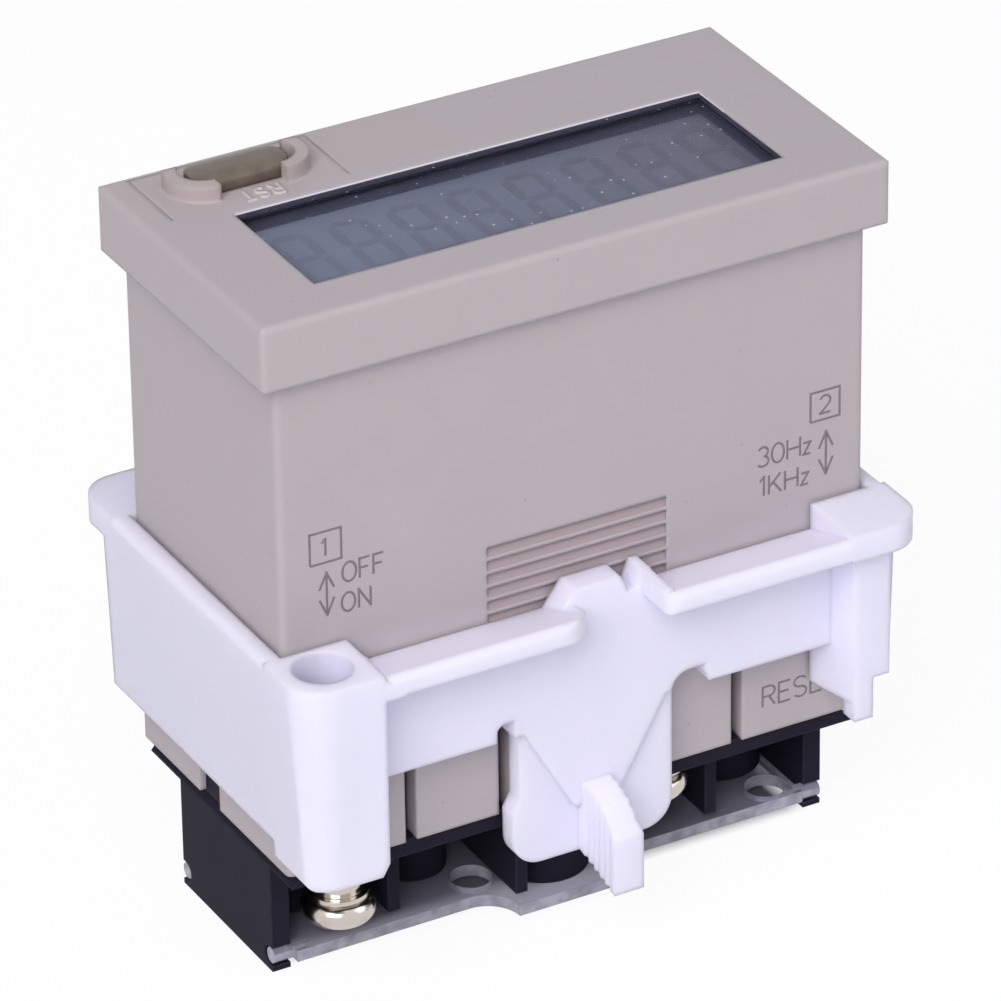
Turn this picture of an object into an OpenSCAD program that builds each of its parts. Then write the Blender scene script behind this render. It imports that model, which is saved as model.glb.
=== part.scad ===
// Panel counter for a 48 x 24 mm cut-out family: a self-powered display counter in a
// moulded case, with its rear terminal base, clear terminal cover and slide-on mounting
// adapter. It stands on the feet of the terminal base, with the display facing up.

/* [Front bezel] */
// Width of the front bezel
bezel_w = 48; // [44:0.5:54]
// Height of the front bezel
bezel_h = 24; // [22:0.2:27]
// Thickness of the bezel in front of the panel
bezel_t = 4.8; // [4.4:0.1:7]
// Rounding of the bezel's front edges
bezel_edge_r = 0.45; // [0.2:0.05:1]
// Rounding of the bezel's corners seen from the front
bezel_corner_r = 0.4; // [0.2:0.1:2]

/* [Case body] */
// Overhang of the bezel past each end of the body
bezel_lap = 1.3; // [1.1:0.05:1.6]
// Overhang of the bezel past each long side of the body
bezel_lap_h = 1.05; // [0.9:0.05:1.3]
// Depth of the case behind the bezel
case_depth = 38.3; // [34:0.1:46]
// Wall thickness of the case
wall = 1.6; // [1.2:0.1:2]
// Rounding of the body's long edges
body_corner_r = 0.5; // [0.2:0.1:1]
// Thickness of the front wall
front_wall = 1.6; // [1.4:0.1:2]
// Depth of the terminal base behind the case
base_depth = 10.2; // [9.9:0.1:14]
// Distance of the first outer skirt slot from the middle
skirt_slot_x = 13.2; // [11:0.1:16]
// Distance of the second outer skirt slot from the middle
skirt_slot_x2 = 12.6; // [11:0.1:16]
// Distance of the inner skirt slots from the middle
latch_slot_x = 5.9; // [4:0.1:8]
// Width of a skirt slot
skirt_slot_w = 0.9; // [0.5:0.1:1.5]
// Height of the skirt slots above the case's rear edge
skirt_slot_h = 7.6; // [4:0.1:7.8]
// Width of the hook slot in each end wall
hook_slot_w = 3; // [1.8:0.1:4]
// Offset of the hook slot from the middle of the end wall
hook_y = 0.7; // [0:0.1:3]

/* [Ratchet grooves] */
// Distance of the first groove behind the bezel
ratchet_start = 17; // [12:0.1:20]
// Pitch of the grooves
ratchet_pitch = 1.05; // [0.8:0.05:1.4]
// Depth of the grooves
ratchet_depth = 0.5; // [0.2:0.05:0.7]
// Width of the grooved field
ratchet_w = 14; // [8:0.1:20]
// Number of grooves on each side
ratchet_count = 9; // [4:1:10]

/* [Window and display] */
// Distance of the clear window from each end of the body
window_side = 4.7; // [4.2:0.1:6]
// Distance of the window from the bezel's near edge
window_near = 4; // [3.9:0.05:4.6]
// Distance of the window from the key's middle
window_key_gap = 4.9; // [4.85:0.05:5.4]
// Depth of the window's face below the bezel's face
window_recess = 0.15; // [0:0.05:0.3]
// Thickness of the bezel's lip over the window flange
window_lip = 0.7; // [0.5:0.05:0.9]
// Thickness of the window flange
window_flange_t = 0.5; // [0.3:0.05:0.6]
// Width of the window flange round the window
window_lap = 0.8; // [0.5:0.05:0.9]
// Thickness of the display glass
lcd_t = 2.2; // [1.6:0.1:2.4]
// Thickness of the reflector sheet behind the glass
reflector_t = 0.2; // [0.1:0.05:0.3]
// Thickness of the display frame
lcd_frame_t = 4; // [3.8:0.1:5]
// Thickness of the circuit boards
board_t = 1.6; // [1:0.1:2]

/* [Reset key] */
// Distance of the key's middle from the bezel's left end
key_inset = 8.75; // [8.4:0.05:9.4]
// Distance of the key's middle from the bezel's far edge
key_top = 3.6; // [3.4:0.1:3.8]
// Length of the key
key_l = 7.8; // [6:0.1:8]
// Width of the key
key_w = 3.2; // [2.4:0.1:3.4]
// Height of the key above the bezel
key_h = 1.05; // [0.9:0.05:1.2]
// Travel of the key when it is pressed
key_travel = 0.6; // [0.3:0.1:0.7]
// Width of the key's retaining flange
key_flange = 0.5; // [0.3:0.05:0.6]
// Thickness of the key's retaining flange
key_flange_t = 0.6; // [0.4:0.1:0.7]
// Height of the guards round the key
guard_h = 1.2; // [0.8:0.1:1.8]
// Wall thickness of the guards
guard_t = 1; // [0.6:0.1:1.1]
// Space between the key's ends and the guards
guard_end_gap = 0.4; // [0.2:0.05:0.6]
// Reach of the guards past the key's middle on the far side
guard_far = 1.1; // [1:0.05:2]
// Opening between the guards
guard_gap = 5; // [3:0.1:6]

/* [Inner pieces] */
// Diameter of the lithium cell
cell_d = 14.5; // [10:0.1:15]
// Length of the lithium cell
cell_l = 25; // [18:0.5:28]
// Distance of the rear board's lower face above the base flange
rear_board_rise = 8.2; // [8:0.1:9]

/* [Terminal base] */
// Thickness of the base flange
flange_t = 1.3; // [1:0.1:1.6]
// Inset of the base flange from the body's long sides
flange_inset = 0.35; // [0.1:0.05:0.6]
// Inset of the end walls from the ends of the body
end_wall_inset = 0.7; // [0.6:0.05:1.2]
// Thickness of the end walls
end_wall_t = 1.4; // [1:0.1:1.8]
// Inset of the end walls from the body's long sides
end_wall_side = 4.25; // [3.4:0.05:4.7]
// Place of the outer barriers as a share of the base's half width
outer_barrier_share = 0.577; // [0.565:0.001:0.585]
// Inset of the outer barriers from the body's long sides
outer_barrier_side = 3.75; // [3.6:0.05:4.1]
// Distance of the inner barriers from the middle
inner_barrier_x = 3.9; // [3.8:0.1:4]
// Inset of the inner barriers from the body's long sides
inner_barrier_side = 1.35; // [1:0.05:1.9]
// Thickness of the barriers
barrier_t = 0.9; // [0.6:0.1:1.1]
// Distance of the barriers' lower edges above the feet
barrier_rise = 2.3; // [2:0.1:3]
// Radius of the middle posts
middle_post_r = 3.3; // [2.6:0.1:3.4]
// Distance of the middle posts' middles from the terminals' line
middle_post_back = 0.7; // [0.4:0.1:2]
// Distance of the end posts' edges from the terminals' middles
end_post_gap = 3; // [2.9:0.1:3.5]
// Distance of the end posts from the end walls' outer faces
end_post_inset = 4.7; // [4.6:0.1:5]
// Radius of the slim posts
slim_post_r = 2.6; // [2:0.1:2.8]
// Middle of the slim posts across the base
slim_post_y = 1.2; // [0.8:0.1:1.4]

/* [Terminals] */
// Diameter of the terminal screws
screw_d = 3.4; // [2.8:0.1:3.6]
// Diameter of the screw heads
screw_head_d = 5.4; // [4.8:0.1:5.5]
// Height of the screw heads
screw_head_h = 2; // [1.5:0.1:2.2]
// Length of the screws under the head
screw_l = 6; // [5.6:0.1:6.5]
// Distance that the end screws are backed out
end_screw_out = 2.5; // [0.5:0.1:2.6]
// Distance that the inner screws are backed out
inner_screw_out = 0.1; // [0:0.1:1]
// Place of the end terminals as a share of the base's half width
end_terminal_share = 0.75; // [0.745:0.001:0.755]
// Distance of the terminals from the body's long sides
terminal_side = 4.75; // [4.6:0.05:4.75]
// Width of a terminal plate as a share of the base's half width
plate_share = 0.27; // [0.25:0.005:0.28]
// Length of a terminal plate
plate_l = 5.6; // [5.2:0.1:5.8]
// Thickness of a terminal plate
plate_t = 0.8; // [0.5:0.1:1]
// Thickness of a clamp washer
washer_t = 0.6; // [0.4:0.1:0.8]
// Travel of the two selector knobs
knob_travel = 1.2; // [0.8:0.1:1.4]

/* [Terminal cover] */
// Thickness of the clear cover
cover_t = 0.9; // [0.7:0.05:1.2]
// Distance of the cover above the feet
cover_rise = 0.7; // [0.5:0.05:0.9]
// Inset of the cover from the body's long sides
cover_side = 3.55; // [3:0.05:3.75]
// Width of the cover's finger tabs
cover_tab_w = 8.6; // [6:0.1:12]
// Reach of the finger tabs past the cover
cover_tab_out = 2.6; // [1.2:0.1:2.8]
// Step of the cover's edges on one side of each finger tab
cover_step = 0.4; // [0:0.05:0.5]
// Diameter of the snap pins at the cover's corners
pin_d = 1.2; // [1:0.05:1.25]
// Diameter of the access holes over the selector knobs
access_d = 3; // [2.4:0.1:3.4]

/* [Mounting adapter] */
// Reach of the adapter past each end of the bezel
adapter_over = 0.3; // [0:0.05:0.5]
// Reach of the adapter's rim past each long side of the body
adapter_reach = 5.95; // [5.8:0.05:6.3]
// Distance of the adapter's rim behind the bezel
adapter_gap = 20.7; // [19.5:0.1:22]
// Clearance of the adapter round the body
adapter_clear = 0.25; // [0.2:0.05:0.35]
// Distance of the long walls' outer faces from the body
long_wall_out = 2.35; // [2.1:0.05:2.6]
// Depth of the rim
rim_t = 2; // [1.6:0.1:2.6]
// Depth of the adapter's long walls
long_wall_depth = 10.3; // [9:0.1:12]
// Depth of the adapter's end walls
end_wall_depth = 14; // [12:0.1:15]
// Inward slope of the adapter's end walls over their depth
end_wall_draft = 0.4; // [0:0.05:0.5]
// Depth of the corner pillars
pillar_depth = 15.6; // [15:0.1:16.2]
// Width of the corner pillars
pillar_w = 6.3; // [6:0.1:7]
// Rounding of the rim's corners seen from the front
rim_corner_r = 2.7; // [2:0.1:3.2]
// Distance of the pillar holes from the adapter's outer faces
hole_inset = 3.2; // [3.1:0.05:3.3]
// Diameter of the holes in the pillars
pillar_hole_d = 4.2; // [3.4:0.1:4.3]
// Half the width of the latch tongue
tongue_half_w = 6.3; // [5.5:0.05:6.5]
// Depth of the latch tongue from the rim
tongue_depth = 21.1; // [20.5:0.1:21.3]
// Half the thickness of the finger fin
fin_half_t = 1.17; // [0.8:0.01:1.4]
// Reach of the finger fin past the long wall
fin_out = 4.5; // [3:0.1:6]
// Depth of the finger fin's tip from the rim
fin_depth = 22.2; // [21.8:0.1:22.6]

/* [Hidden] */
$fn = 48;
eps = 0.01;
// Named clearances
slide_fit = 0.15;
seat_gap = 0.05;
tooth_clear = 0.15;
cover_clear = 0.2;
shank_clear = 0.25;
knob_clear = 0.15;
// Levels above the feet
bezel_back = case_depth + base_depth;
front_z = bezel_back + bezel_t;
case_end = base_depth;
front_inner = front_z - front_wall;
flange_low = case_end - flange_t;
frame_low = front_inner - lcd_frame_t;
display_board_low = frame_low - board_t;
rear_board_low = case_end + rear_board_rise;
rear_board_top = rear_board_low + board_t;
plate_low = flange_low - plate_t;
washer_low = plate_low - washer_t;
cover_low = cover_rise;
cover_top = cover_low + cover_t;
barrier_low = barrier_rise;
rim_top = bezel_back - adapter_gap;
rim_low = rim_top - rim_t;
// Widths that follow the bezel
body_w = bezel_w - 2 * bezel_lap;
window_w = body_w - 2 * window_side;
key_x = -bezel_w / 2 + key_inset;
adapter_w = bezel_w + 2 * adapter_over;
end_wall_x = body_w / 2 - end_wall_inset;
outer_barrier_x = outer_barrier_share * end_wall_x;
end_terminal_x = end_terminal_share * end_wall_x;
inner_terminal_x = (inner_barrier_x + outer_barrier_x) / 2;
slim_post_x = inner_terminal_x;
end_post_x = end_wall_x - end_post_inset;
plate_w = plate_share * end_wall_x;
// Heights that follow the bezel
body_h = bezel_h - 2 * bezel_lap_h;
key_y = bezel_h / 2 - key_top;
window_h = key_y - window_key_gap + bezel_h / 2 - window_near;
window_y = -bezel_h / 2 + window_near + window_h / 2;
adapter_h = body_h + 2 * adapter_reach;
end_wall_y = body_h / 2 - end_wall_side;
outer_barrier_y = body_h / 2 - outer_barrier_side;
inner_barrier_y = body_h / 2 - inner_barrier_side;
terminal_y = body_h / 2 - terminal_side;
middle_post_y = terminal_y - middle_post_back;
end_post_r = terminal_y - end_post_gap;
cover_y = body_h / 2 - cover_side;
// Inner spaces
inner_w = body_w - 2 * wall;
inner_h = body_h - 2 * wall;
tray_w = inner_w - 2 * slide_fit;
tray_h = inner_h - 2 * slide_fit;
glass_w = window_w + 2 * window_lap;
glass_h = window_h + 2 * window_lap;
window_back = front_z - window_lip - window_flange_t;
lcd_gap = 0.25;
lcd_top = window_back - lcd_gap;
lcd_low = lcd_top - lcd_t;
reflector_low = lcd_low - reflector_t;
// Reset key
key_flange_top = front_inner - seat_gap;
key_flange_low = key_flange_top - key_flange_t;
plunger_d = 2;
switch_gap = 0.15;
reset_switch_top = key_flange_low - key_travel - switch_gap;
reset_switch_w = 4;
reset_switch_y = tray_h / 2 - reset_switch_w / 2;
guard_l = key_l + 2 * (guard_end_gap + guard_t);
guard_w = key_w + 2 * (slide_fit + guard_t);
line_t = 0.2;
line_deep = 0.12;
// Selector knobs
end_knob_inset = 3.5;
end_knob_x = end_wall_x - end_knob_inset;
inner_knob_x = 5.45;
knob_back = 1.2;
knob_y = terminal_y - knob_back;
knob_w = 1.2;
knob_l = 1.8;
knob_out = 1;
selector_w = 2.2;
selector_l = 4.4;
selector_h = 3.2;
// Collar under each screw head
collar_d = 4.4;
collar_h = 0.35;
// Base
base_w = 2 * end_wall_x + 0.6;
base_h = body_h - 2 * flange_inset;
plug_t = 1;
flange_bevel = 1.1;
pin_y = end_wall_y - 0.4;
pin_z = cover_low + cover_t / 2;
hook_w = hook_slot_w - 2 * slide_fit;
post_low = cover_top + seat_gap;
// Adapter
hole_x = adapter_w / 2 - hole_inset;
hole_y = adapter_h / 2 - hole_inset;
bay_w = body_w + 2 * adapter_clear;
bay_h = body_h + 2 * adapter_clear;
long_wall_y = body_h / 2 + long_wall_out;
tongue_t = 1.5;
web_root = 9;
web_l = 8.2;
fin_root_depth = 15.3;
fin_bend_depth = 16.1;
fin_nose_depth = 17.8;
fin_nose = 0.85;
fin_groove_r = 0.3;
fin_groove_pitch = 0.75;
tongue_inner = bay_h / 2 + 0.1;
tongue_outer = tongue_inner + tongue_t;

// Colours of the finishes
case_colour = [0.71, 0.68, 0.65];
black_plastic = [0.14, 0.14, 0.17];
white_plastic = [0.9, 0.89, 0.94];
clear_plastic = [0.6, 0.6, 0.65, 0.5];
nickel = [0.78, 0.76, 0.72];
board_green = [0.16, 0.36, 0.24];

// Places of the terminals: the two on one long side, then their copies half a turn round
TERMINALS = [[-end_terminal_x, -terminal_y, end_screw_out],
             [inner_terminal_x, -terminal_y, inner_screw_out],
             [end_terminal_x, terminal_y, end_screw_out],
             [-inner_terminal_x, terminal_y, inner_screw_out]];

// Flat shapes
module rounded_rect(w, h, r) {
    square([w - 2 * r, h], center = true);
    square([w, h - 2 * r], center = true);
    for (sx = [-1, 1], sy = [-1, 1])
        translate([sx * (w / 2 - r), sy * (h / 2 - r)]) circle(r);
}

module arched_rect(w, h, r) {
    translate([-w / 2, 0]) square([w, h - r]);
    translate([-w / 2 + r, 0]) square([w - 2 * r, h]);
    for (sx = [-1, 1]) translate([sx * (w / 2 - r), h - r]) circle(r);
}

module stadium(l, w) {
    square([l - w, w], center = true);
    for (sx = [-1, 1]) translate([sx * (l - w) / 2, 0]) circle(w / 2);
}

// Extrusions along X and Y of a profile drawn with its second axis up
module along_x(l) {
    translate([-l / 2, 0, 0]) rotate([90, 0, 90]) linear_extrude(l) children();
}

module along_y(l) {
    translate([0, l / 2, 0]) rotate([90, 0, 0]) linear_extrude(l) children();
}

module slab(x0, x1, y0, y1, z0, z1) {
    translate([x0, y0, z0]) cube([x1 - x0, y1 - y0, z1 - z0]);
}

// A shape and its copy half a turn round the part's upright axis
module both_sides() {
    children();
    rotate([0, 0, 180]) children();
}

// Case
module bezel_block() {
    intersection() {
        translate([0, 0, bezel_back]) linear_extrude(bezel_t)
            rounded_rect(bezel_w, bezel_h, bezel_corner_r);
        translate([0, 0, bezel_back]) along_x(bezel_w) arched_rect(bezel_h, bezel_t, bezel_edge_r);
        translate([0, 0, bezel_back]) along_y(bezel_h) arched_rect(bezel_w, bezel_t, bezel_edge_r);
    }
}

module key_guards() {
    translate([key_x, key_y, front_z - eps]) linear_extrude(guard_h + eps) difference() {
        stadium(guard_l, guard_w);
        stadium(guard_l - 2 * guard_t, guard_w - 2 * guard_t);
        square([guard_gap, guard_w + 1], center = true);
        translate([-guard_l, guard_far]) square([2 * guard_l, guard_w]);
    }
}

module key_frame_line() {
    frame_w = 13.6;
    frame_far = 3.05;
    frame_near = 3.6;
    translate([key_x, key_y, front_z - line_deep]) {
        slab(-frame_w / 2, frame_w / 2, frame_far - line_t, frame_far, 0, 1);
        for (sx = [-1, 1]) translate([sx * (frame_w - line_t) / 2, 0, 0])
            slab(-line_t / 2, line_t / 2, -frame_near, frame_far, 0, 1);
    }
}

// Room behind the front wall for the key's flange and its travel
module key_pocket() {
    half_l = key_l / 2 + key_flange + slide_fit;
    slab(key_x - half_l, key_x + half_l, 0, key_y + key_w / 2 + slide_fit,
         key_flange_low - key_travel - slide_fit, front_inner + eps);
}

module ratchet_grooves() {
    for (i = [0 : ratchet_count - 1])
        translate([0, -body_h / 2, bezel_back - ratchet_start - i * ratchet_pitch]) along_x(ratchet_w)
            polygon([[-1, 0], [ratchet_depth, 0], [0, -0.8 * ratchet_pitch], [-1, -0.8 * ratchet_pitch]]);
}

module skirt_slots() {
    for (x = [-skirt_slot_x, -latch_slot_x, latch_slot_x, skirt_slot_x2])
        slab(x - skirt_slot_w / 2, x + skirt_slot_w / 2, -body_h, -inner_h / 2 + eps,
             case_end - eps, case_end + skirt_slot_h);
    slab(-body_w, -inner_w / 2 + eps, hook_y - hook_slot_w / 2, hook_y + hook_slot_w / 2,
         case_end - eps, case_end + skirt_slot_h);
}

module case() {
    color(case_colour) difference() {
        union() {
            bezel_block();
            translate([0, 0, case_end]) linear_extrude(case_depth + eps)
                rounded_rect(body_w, body_h, body_corner_r);
            key_guards();
        }
        slab(-inner_w / 2, inner_w / 2, -inner_h / 2, inner_h / 2, case_end - eps, front_inner);
        translate([0, window_y, front_inner - eps]) linear_extrude(front_wall + 1)
            square([window_w, window_h], center = true);
        translate([0, window_y, front_inner - eps]) linear_extrude(front_wall - window_lip + eps)
            square([glass_w + 2 * slide_fit, glass_h + 2 * slide_fit], center = true);
        translate([key_x, key_y, front_inner - eps]) linear_extrude(front_wall + guard_h + 1)
            stadium(key_l + 2 * slide_fit, key_w + 2 * slide_fit);
        key_pocket();
        key_frame_line();
        both_sides() {
            ratchet_grooves();
            skirt_slots();
        }
    }
}

// Display
module front_window() {
    pad_t = window_lip - window_recess;
    color(clear_plastic) {
        translate([0, window_y, window_back]) linear_extrude(window_flange_t)
            square([glass_w, glass_h], center = true);
        translate([0, window_y, window_back + window_flange_t - eps]) linear_extrude(pad_t + eps)
            rounded_rect(window_w - slide_fit, window_h - slide_fit, 0.2);
    }
}

module lcd_glass() {
    color([0.45, 0.48, 0.54]) translate([0, window_y, lcd_low]) linear_extrude(lcd_t)
        square([glass_w, glass_h], center = true);
}

module reflector() {
    color("silver") translate([0, window_y, reflector_low]) linear_extrude(reflector_t)
        square([glass_w, glass_h - 2 * zebra_w - 2], center = true);
}

// Slots for the two contact strips along the long edges of the glass
zebra_w = 2;
zebra_end = 1.8;
zebra_l = glass_w - 2 * zebra_end;
module zebra_places() {
    for (sy = [-1, 1]) translate([0, window_y + sy * (glass_h - zebra_w) / 2 - sy * 0.5, 0]) children();
}

module lcd_frame() {
    pocket = 2 * slide_fit;
    color([0.2, 0.2, 0.24]) difference() {
        translate([0, 0, frame_low]) linear_extrude(lcd_frame_t) square([tray_w, tray_h], center = true);
        translate([0, window_y, reflector_low]) linear_extrude(lcd_frame_t)
            square([glass_w + pocket, glass_h + pocket], center = true);
        zebra_places() translate([0, 0, frame_low - 1]) linear_extrude(lcd_frame_t)
            square([zebra_l + pocket, zebra_w + pocket], center = true);
        slab(key_x - key_l / 2 - key_flange - slide_fit, key_x + key_l / 2 + key_flange + slide_fit,
             reset_switch_y - reset_switch_w / 2 - slide_fit, inner_h, frame_low - 1, front_z);
    }
}

module zebra_strips() {
    color("dimgray") zebra_places() translate([0, 0, frame_low])
        linear_extrude(lcd_low - frame_low) square([zebra_l, zebra_w], center = true);
}

module display_board() {
    color(board_green) translate([0, 0, display_board_low]) linear_extrude(board_t)
        square([tray_w, tray_h], center = true);
}

module controller_chip() {
    chip_w = 7;
    chip_t = 1.2;
    chip_x = 5;
    color(black_plastic) translate([chip_x, 0, display_board_low - chip_t]) linear_extrude(chip_t)
        rounded_rect(chip_w, chip_w, 0.3);
}

module crystal() {
    can_d = 2;
    can_l = 6;
    can_x = -8;
    can_y = 4;
    color("silver") translate([can_x, can_y, display_board_low - can_d / 2]) rotate([0, 90, 0])
        cylinder(d = can_d, h = can_l);
}

// Reset key and its switch
module reset_switch() {
    color(black_plastic) difference() {
        translate([key_x, reset_switch_y, frame_low]) linear_extrude(reset_switch_top - frame_low)
            square([reset_switch_w, reset_switch_w], center = true);
        translate([key_x, reset_switch_y, frame_low + 0.3]) cylinder(d = plunger_d + 0.2, h = lcd_frame_t);
    }
}

module reset_plunger() {
    plunger_low = reset_switch_top - 0.7;
    color("ivory") translate([key_x, reset_switch_y, plunger_low])
        cylinder(d = plunger_d, h = key_flange_low - plunger_low);
}

module reset_key() {
    dish_r = 9;
    dish_deep = 0.2;
    color([0.47, 0.43, 0.37]) difference() {
        union() {
            translate([key_x, key_y, key_flange_low]) linear_extrude(front_z + key_h - key_flange_low)
                stadium(key_l, key_w);
            translate([key_x, key_y - 0.6, key_flange_low]) linear_extrude(key_flange_t)
                square([key_l + 2 * key_flange, key_w + 2 * key_flange - 1.2], center = true);
        }
        translate([key_x, key_y, front_z + key_h - dish_deep + dish_r]) rotate([0, 90, 0])
            cylinder(r = dish_r, h = key_l + 2, center = true, $fn = 96);
    }
}

// Power
cell_z = rear_board_top + cell_d / 2;
tab_t = 0.3;
module lithium_cell() {
    cap_d = 6;
    cap_h = 1;
    color([0.25, 0.45, 0.7]) translate([-cell_l / 2, 0, cell_z]) rotate([0, 90, 0]) {
        cylinder(d = cell_d, h = cell_l - cap_h);
        translate([0, 0, cell_l - cap_h - eps]) cylinder(d = cap_d, h = cap_h + eps);
    }
}

module cell_tabs() {
    tab_w = 4;
    color(nickel) for (sx = [-1, 1]) {
        x = sx * (cell_l / 2 + tab_t / 2);
        slab(x - tab_t / 2, x + tab_t / 2, -tab_w / 2, tab_w / 2, rear_board_top, cell_z + tab_w / 2);
    }
}

module board_link() {
    pins = 6;
    pitch = 2;
    pin_w = 0.6;
    color(nickel) for (i = [0 : pins - 1])
        translate([tray_w / 2 - 2, (i - (pins - 1) / 2) * pitch, 0])
            slab(-pin_w / 2, pin_w / 2, -pin_w / 2, pin_w / 2, rear_board_top, display_board_low);
}

module rear_board() {
    color(board_green) translate([0, 0, rear_board_low]) linear_extrude(board_t)
        square([tray_w, tray_h], center = true);
}

// Selector switches: a body on the base flange, its pins up to the board, and its knob
module selector_body(x) {
    pin_w = 0.6;
    color("dimgray") {
        difference() {
            translate([x, -knob_y, case_end]) linear_extrude(selector_h)
                square([selector_w, selector_l], center = true);
            translate([x, -knob_y, case_end - eps]) linear_extrude(knob_h_inside + seat_gap + eps)
                square([knob_w + 2 * knob_clear, knob_l + knob_travel + 2 * knob_clear], center = true);
        }
        for (sy = [-1, 1]) translate([x, -knob_y + sy * 1.5, 0])
            slab(-pin_w / 2, pin_w / 2, -pin_w / 2, pin_w / 2, case_end + selector_h - eps, rear_board_low);
    }
}

knob_h_inside = 2;
module selector_knob(x) {
    color("white") translate([x, -knob_y - knob_travel / 2, flange_low - knob_out])
        linear_extrude(case_end + knob_h_inside - flange_low + knob_out)
            square([knob_w, knob_l], center = true);
}

module key_lock_switch() {
    selector_body(-inner_knob_x);
}

module speed_switch() {
    selector_body(end_knob_x);
}

module key_lock_knob() {
    selector_knob(-inner_knob_x);
}

module speed_knob() {
    selector_knob(end_knob_x);
}

// Terminal base
module base_posts() {
    post_h = flange_low - post_low + eps;
    translate([0, -middle_post_y, post_low]) cylinder(r = middle_post_r, h = post_h);
    translate([end_post_x, 0, post_low]) cylinder(r = end_post_r, h = post_h);
    translate([-slim_post_x, -slim_post_y, post_low]) cylinder(r = slim_post_r, h = post_h);
}

module barrier(x, reach) {
    slab(x - barrier_t / 2, x + barrier_t / 2, -reach, eps, barrier_low, flange_low + eps);
}

module end_wall() {
    difference() {
        slab(-end_wall_x, -end_wall_x + end_wall_t, -end_wall_y, end_wall_y, 0, flange_low + eps);
        for (sy = [-1, 1]) translate([-end_wall_x - 1, sy * pin_y, pin_z]) {
            notch_r = pin_d / 2 + slide_fit;
            rotate([0, 90, 0]) cylinder(r = notch_r, h = end_wall_t + 2);
            translate([0, sy > 0 ? 0 : -2, -notch_r]) cube([end_wall_t + 2, 2, 2 * notch_r]);
        }
    }
}

module base_hook() {
    hook_h = 3.6;
    slab(-body_w / 2 + 0.4, -tray_w / 2 + plug_t, hook_y - hook_w / 2, hook_y + hook_w / 2,
         case_end - eps, case_end + hook_h);
}

module knob_window(x) {
    slab(x - knob_w / 2 - knob_clear, x + knob_w / 2 + knob_clear,
         -knob_y - (knob_l + knob_travel) / 2 - knob_clear,
         -knob_y + (knob_l + knob_travel) / 2 + knob_clear, flange_low - 1, case_end + 1);
}

module terminal_base() {
    color(black_plastic) difference() {
        union() {
            along_y(base_h) polygon([[-base_w / 2, flange_low], [base_w / 2, flange_low],
                                     [base_w / 2 - flange_bevel, case_end],
                                     [-base_w / 2 + flange_bevel, case_end]]);
            difference() {
                slab(-tray_w / 2, tray_w / 2, -tray_h / 2, tray_h / 2, case_end - eps, rear_board_low);
                slab(-tray_w / 2 + plug_t, tray_w / 2 - plug_t, -tray_h / 2 + plug_t, tray_h / 2 - plug_t,
                     case_end - 2 * eps, rear_board_low + 1);
            }
            both_sides() {
                end_wall();
                base_posts();
                barrier(-outer_barrier_x, outer_barrier_y);
                barrier(-inner_barrier_x, inner_barrier_y);
                barrier(inner_barrier_x, inner_barrier_y);
                barrier(outer_barrier_x, outer_barrier_y);
                base_hook();
            }
        }
        for (t = TERMINALS) translate([t.x, t.y, flange_low - 1])
            cylinder(d = screw_d + 2 * shank_clear, h = flange_t + 2);
        knob_window(-inner_knob_x);
        knob_window(end_knob_x);
        terminal_pin_places() slab(-pin_half_w - eps, pin_half_w + eps, -pin_half_t - eps, pin_half_t + eps,
                                   flange_low - eps, case_end + 1);
    }
}

// Terminal hardware
module at_terminals() {
    for (t = TERMINALS) translate([t.x, t.y, 0]) children();
}

pin_half_w = 1;
pin_half_t = 0.4;
pin_back = 2.6;
module terminal_pin_places() {
    for (t = TERMINALS) translate([t.x, sign(t.y) * (terminal_y - pin_back), 0]) children();
}

module terminal_plates() {
    color(nickel) at_terminals() difference() {
        translate([0, 0, plate_low]) linear_extrude(plate_t) square([plate_w, plate_l], center = true);
        translate([0, 0, plate_low - 1]) cylinder(d = screw_d + 0.1, h = plate_t + 2);
    }
}

module clamp_washers() {
    color(nickel) at_terminals() difference() {
        translate([0, 0, washer_low]) cylinder(d = screw_head_d, h = washer_t);
        translate([0, 0, washer_low - 1]) cylinder(d = screw_d + 0.3, h = washer_t + 2);
    }
}

// Pan-head screw: a shank, a collar and a head with a fully rounded edge and a cross slot
module terminal_screws() {
    round_r = screw_head_h / 2;
    head_r = screw_head_d / 2;
    slot_w = 0.7;
    slot_l = 0.7 * screw_head_d;
    slot_deep = 1;
    color(nickel) for (t = TERMINALS) translate([t.x, t.y, washer_low - t.z]) difference() {
        union() {
            cylinder(d = screw_d, h = screw_l);
            translate([0, 0, -collar_h]) cylinder(d = collar_d, h = collar_h + eps);
            translate([0, 0, -collar_h - screw_head_h]) rotate_extrude() {
                square([head_r - round_r, screw_head_h + eps]);
                intersection() {
                    translate([head_r - round_r, round_r]) circle(round_r);
                    square([head_r + 1, screw_head_h]);
                }
            }
        }
        for (a = [0, 90]) rotate([0, 0, a]) translate([0, 0, -collar_h - screw_head_h])
            cube([slot_l, slot_w, 2 * slot_deep], center = true);
    }
}

module terminal_pins() {
    color(nickel) terminal_pin_places()
        slab(-pin_half_w, pin_half_w, -pin_half_t, pin_half_t, flange_low, rear_board_low);
}

// Clear cover over the terminals
module cover_outline() {
    cover_w = 2 * (end_wall_x - end_wall_t - cover_clear);
    near_y = cover_y - cover_step;
    polygon([[-cover_w / 2, -cover_y], [0, -cover_y], [0, -near_y], [cover_w / 2, -near_y],
             [cover_w / 2, cover_y], [0, cover_y], [0, near_y], [-cover_w / 2, near_y]]);
    difference() {
        square([cover_tab_w + 2 * cover_tab_out, 2 * (cover_y + cover_tab_out)], center = true);
        for (sx = [-1, 1], sy = [-1, 1])
            translate([sx * (cover_tab_w / 2 + cover_tab_out), sy * (cover_y + cover_tab_out)])
                circle(cover_tab_out);
    }
}

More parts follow.
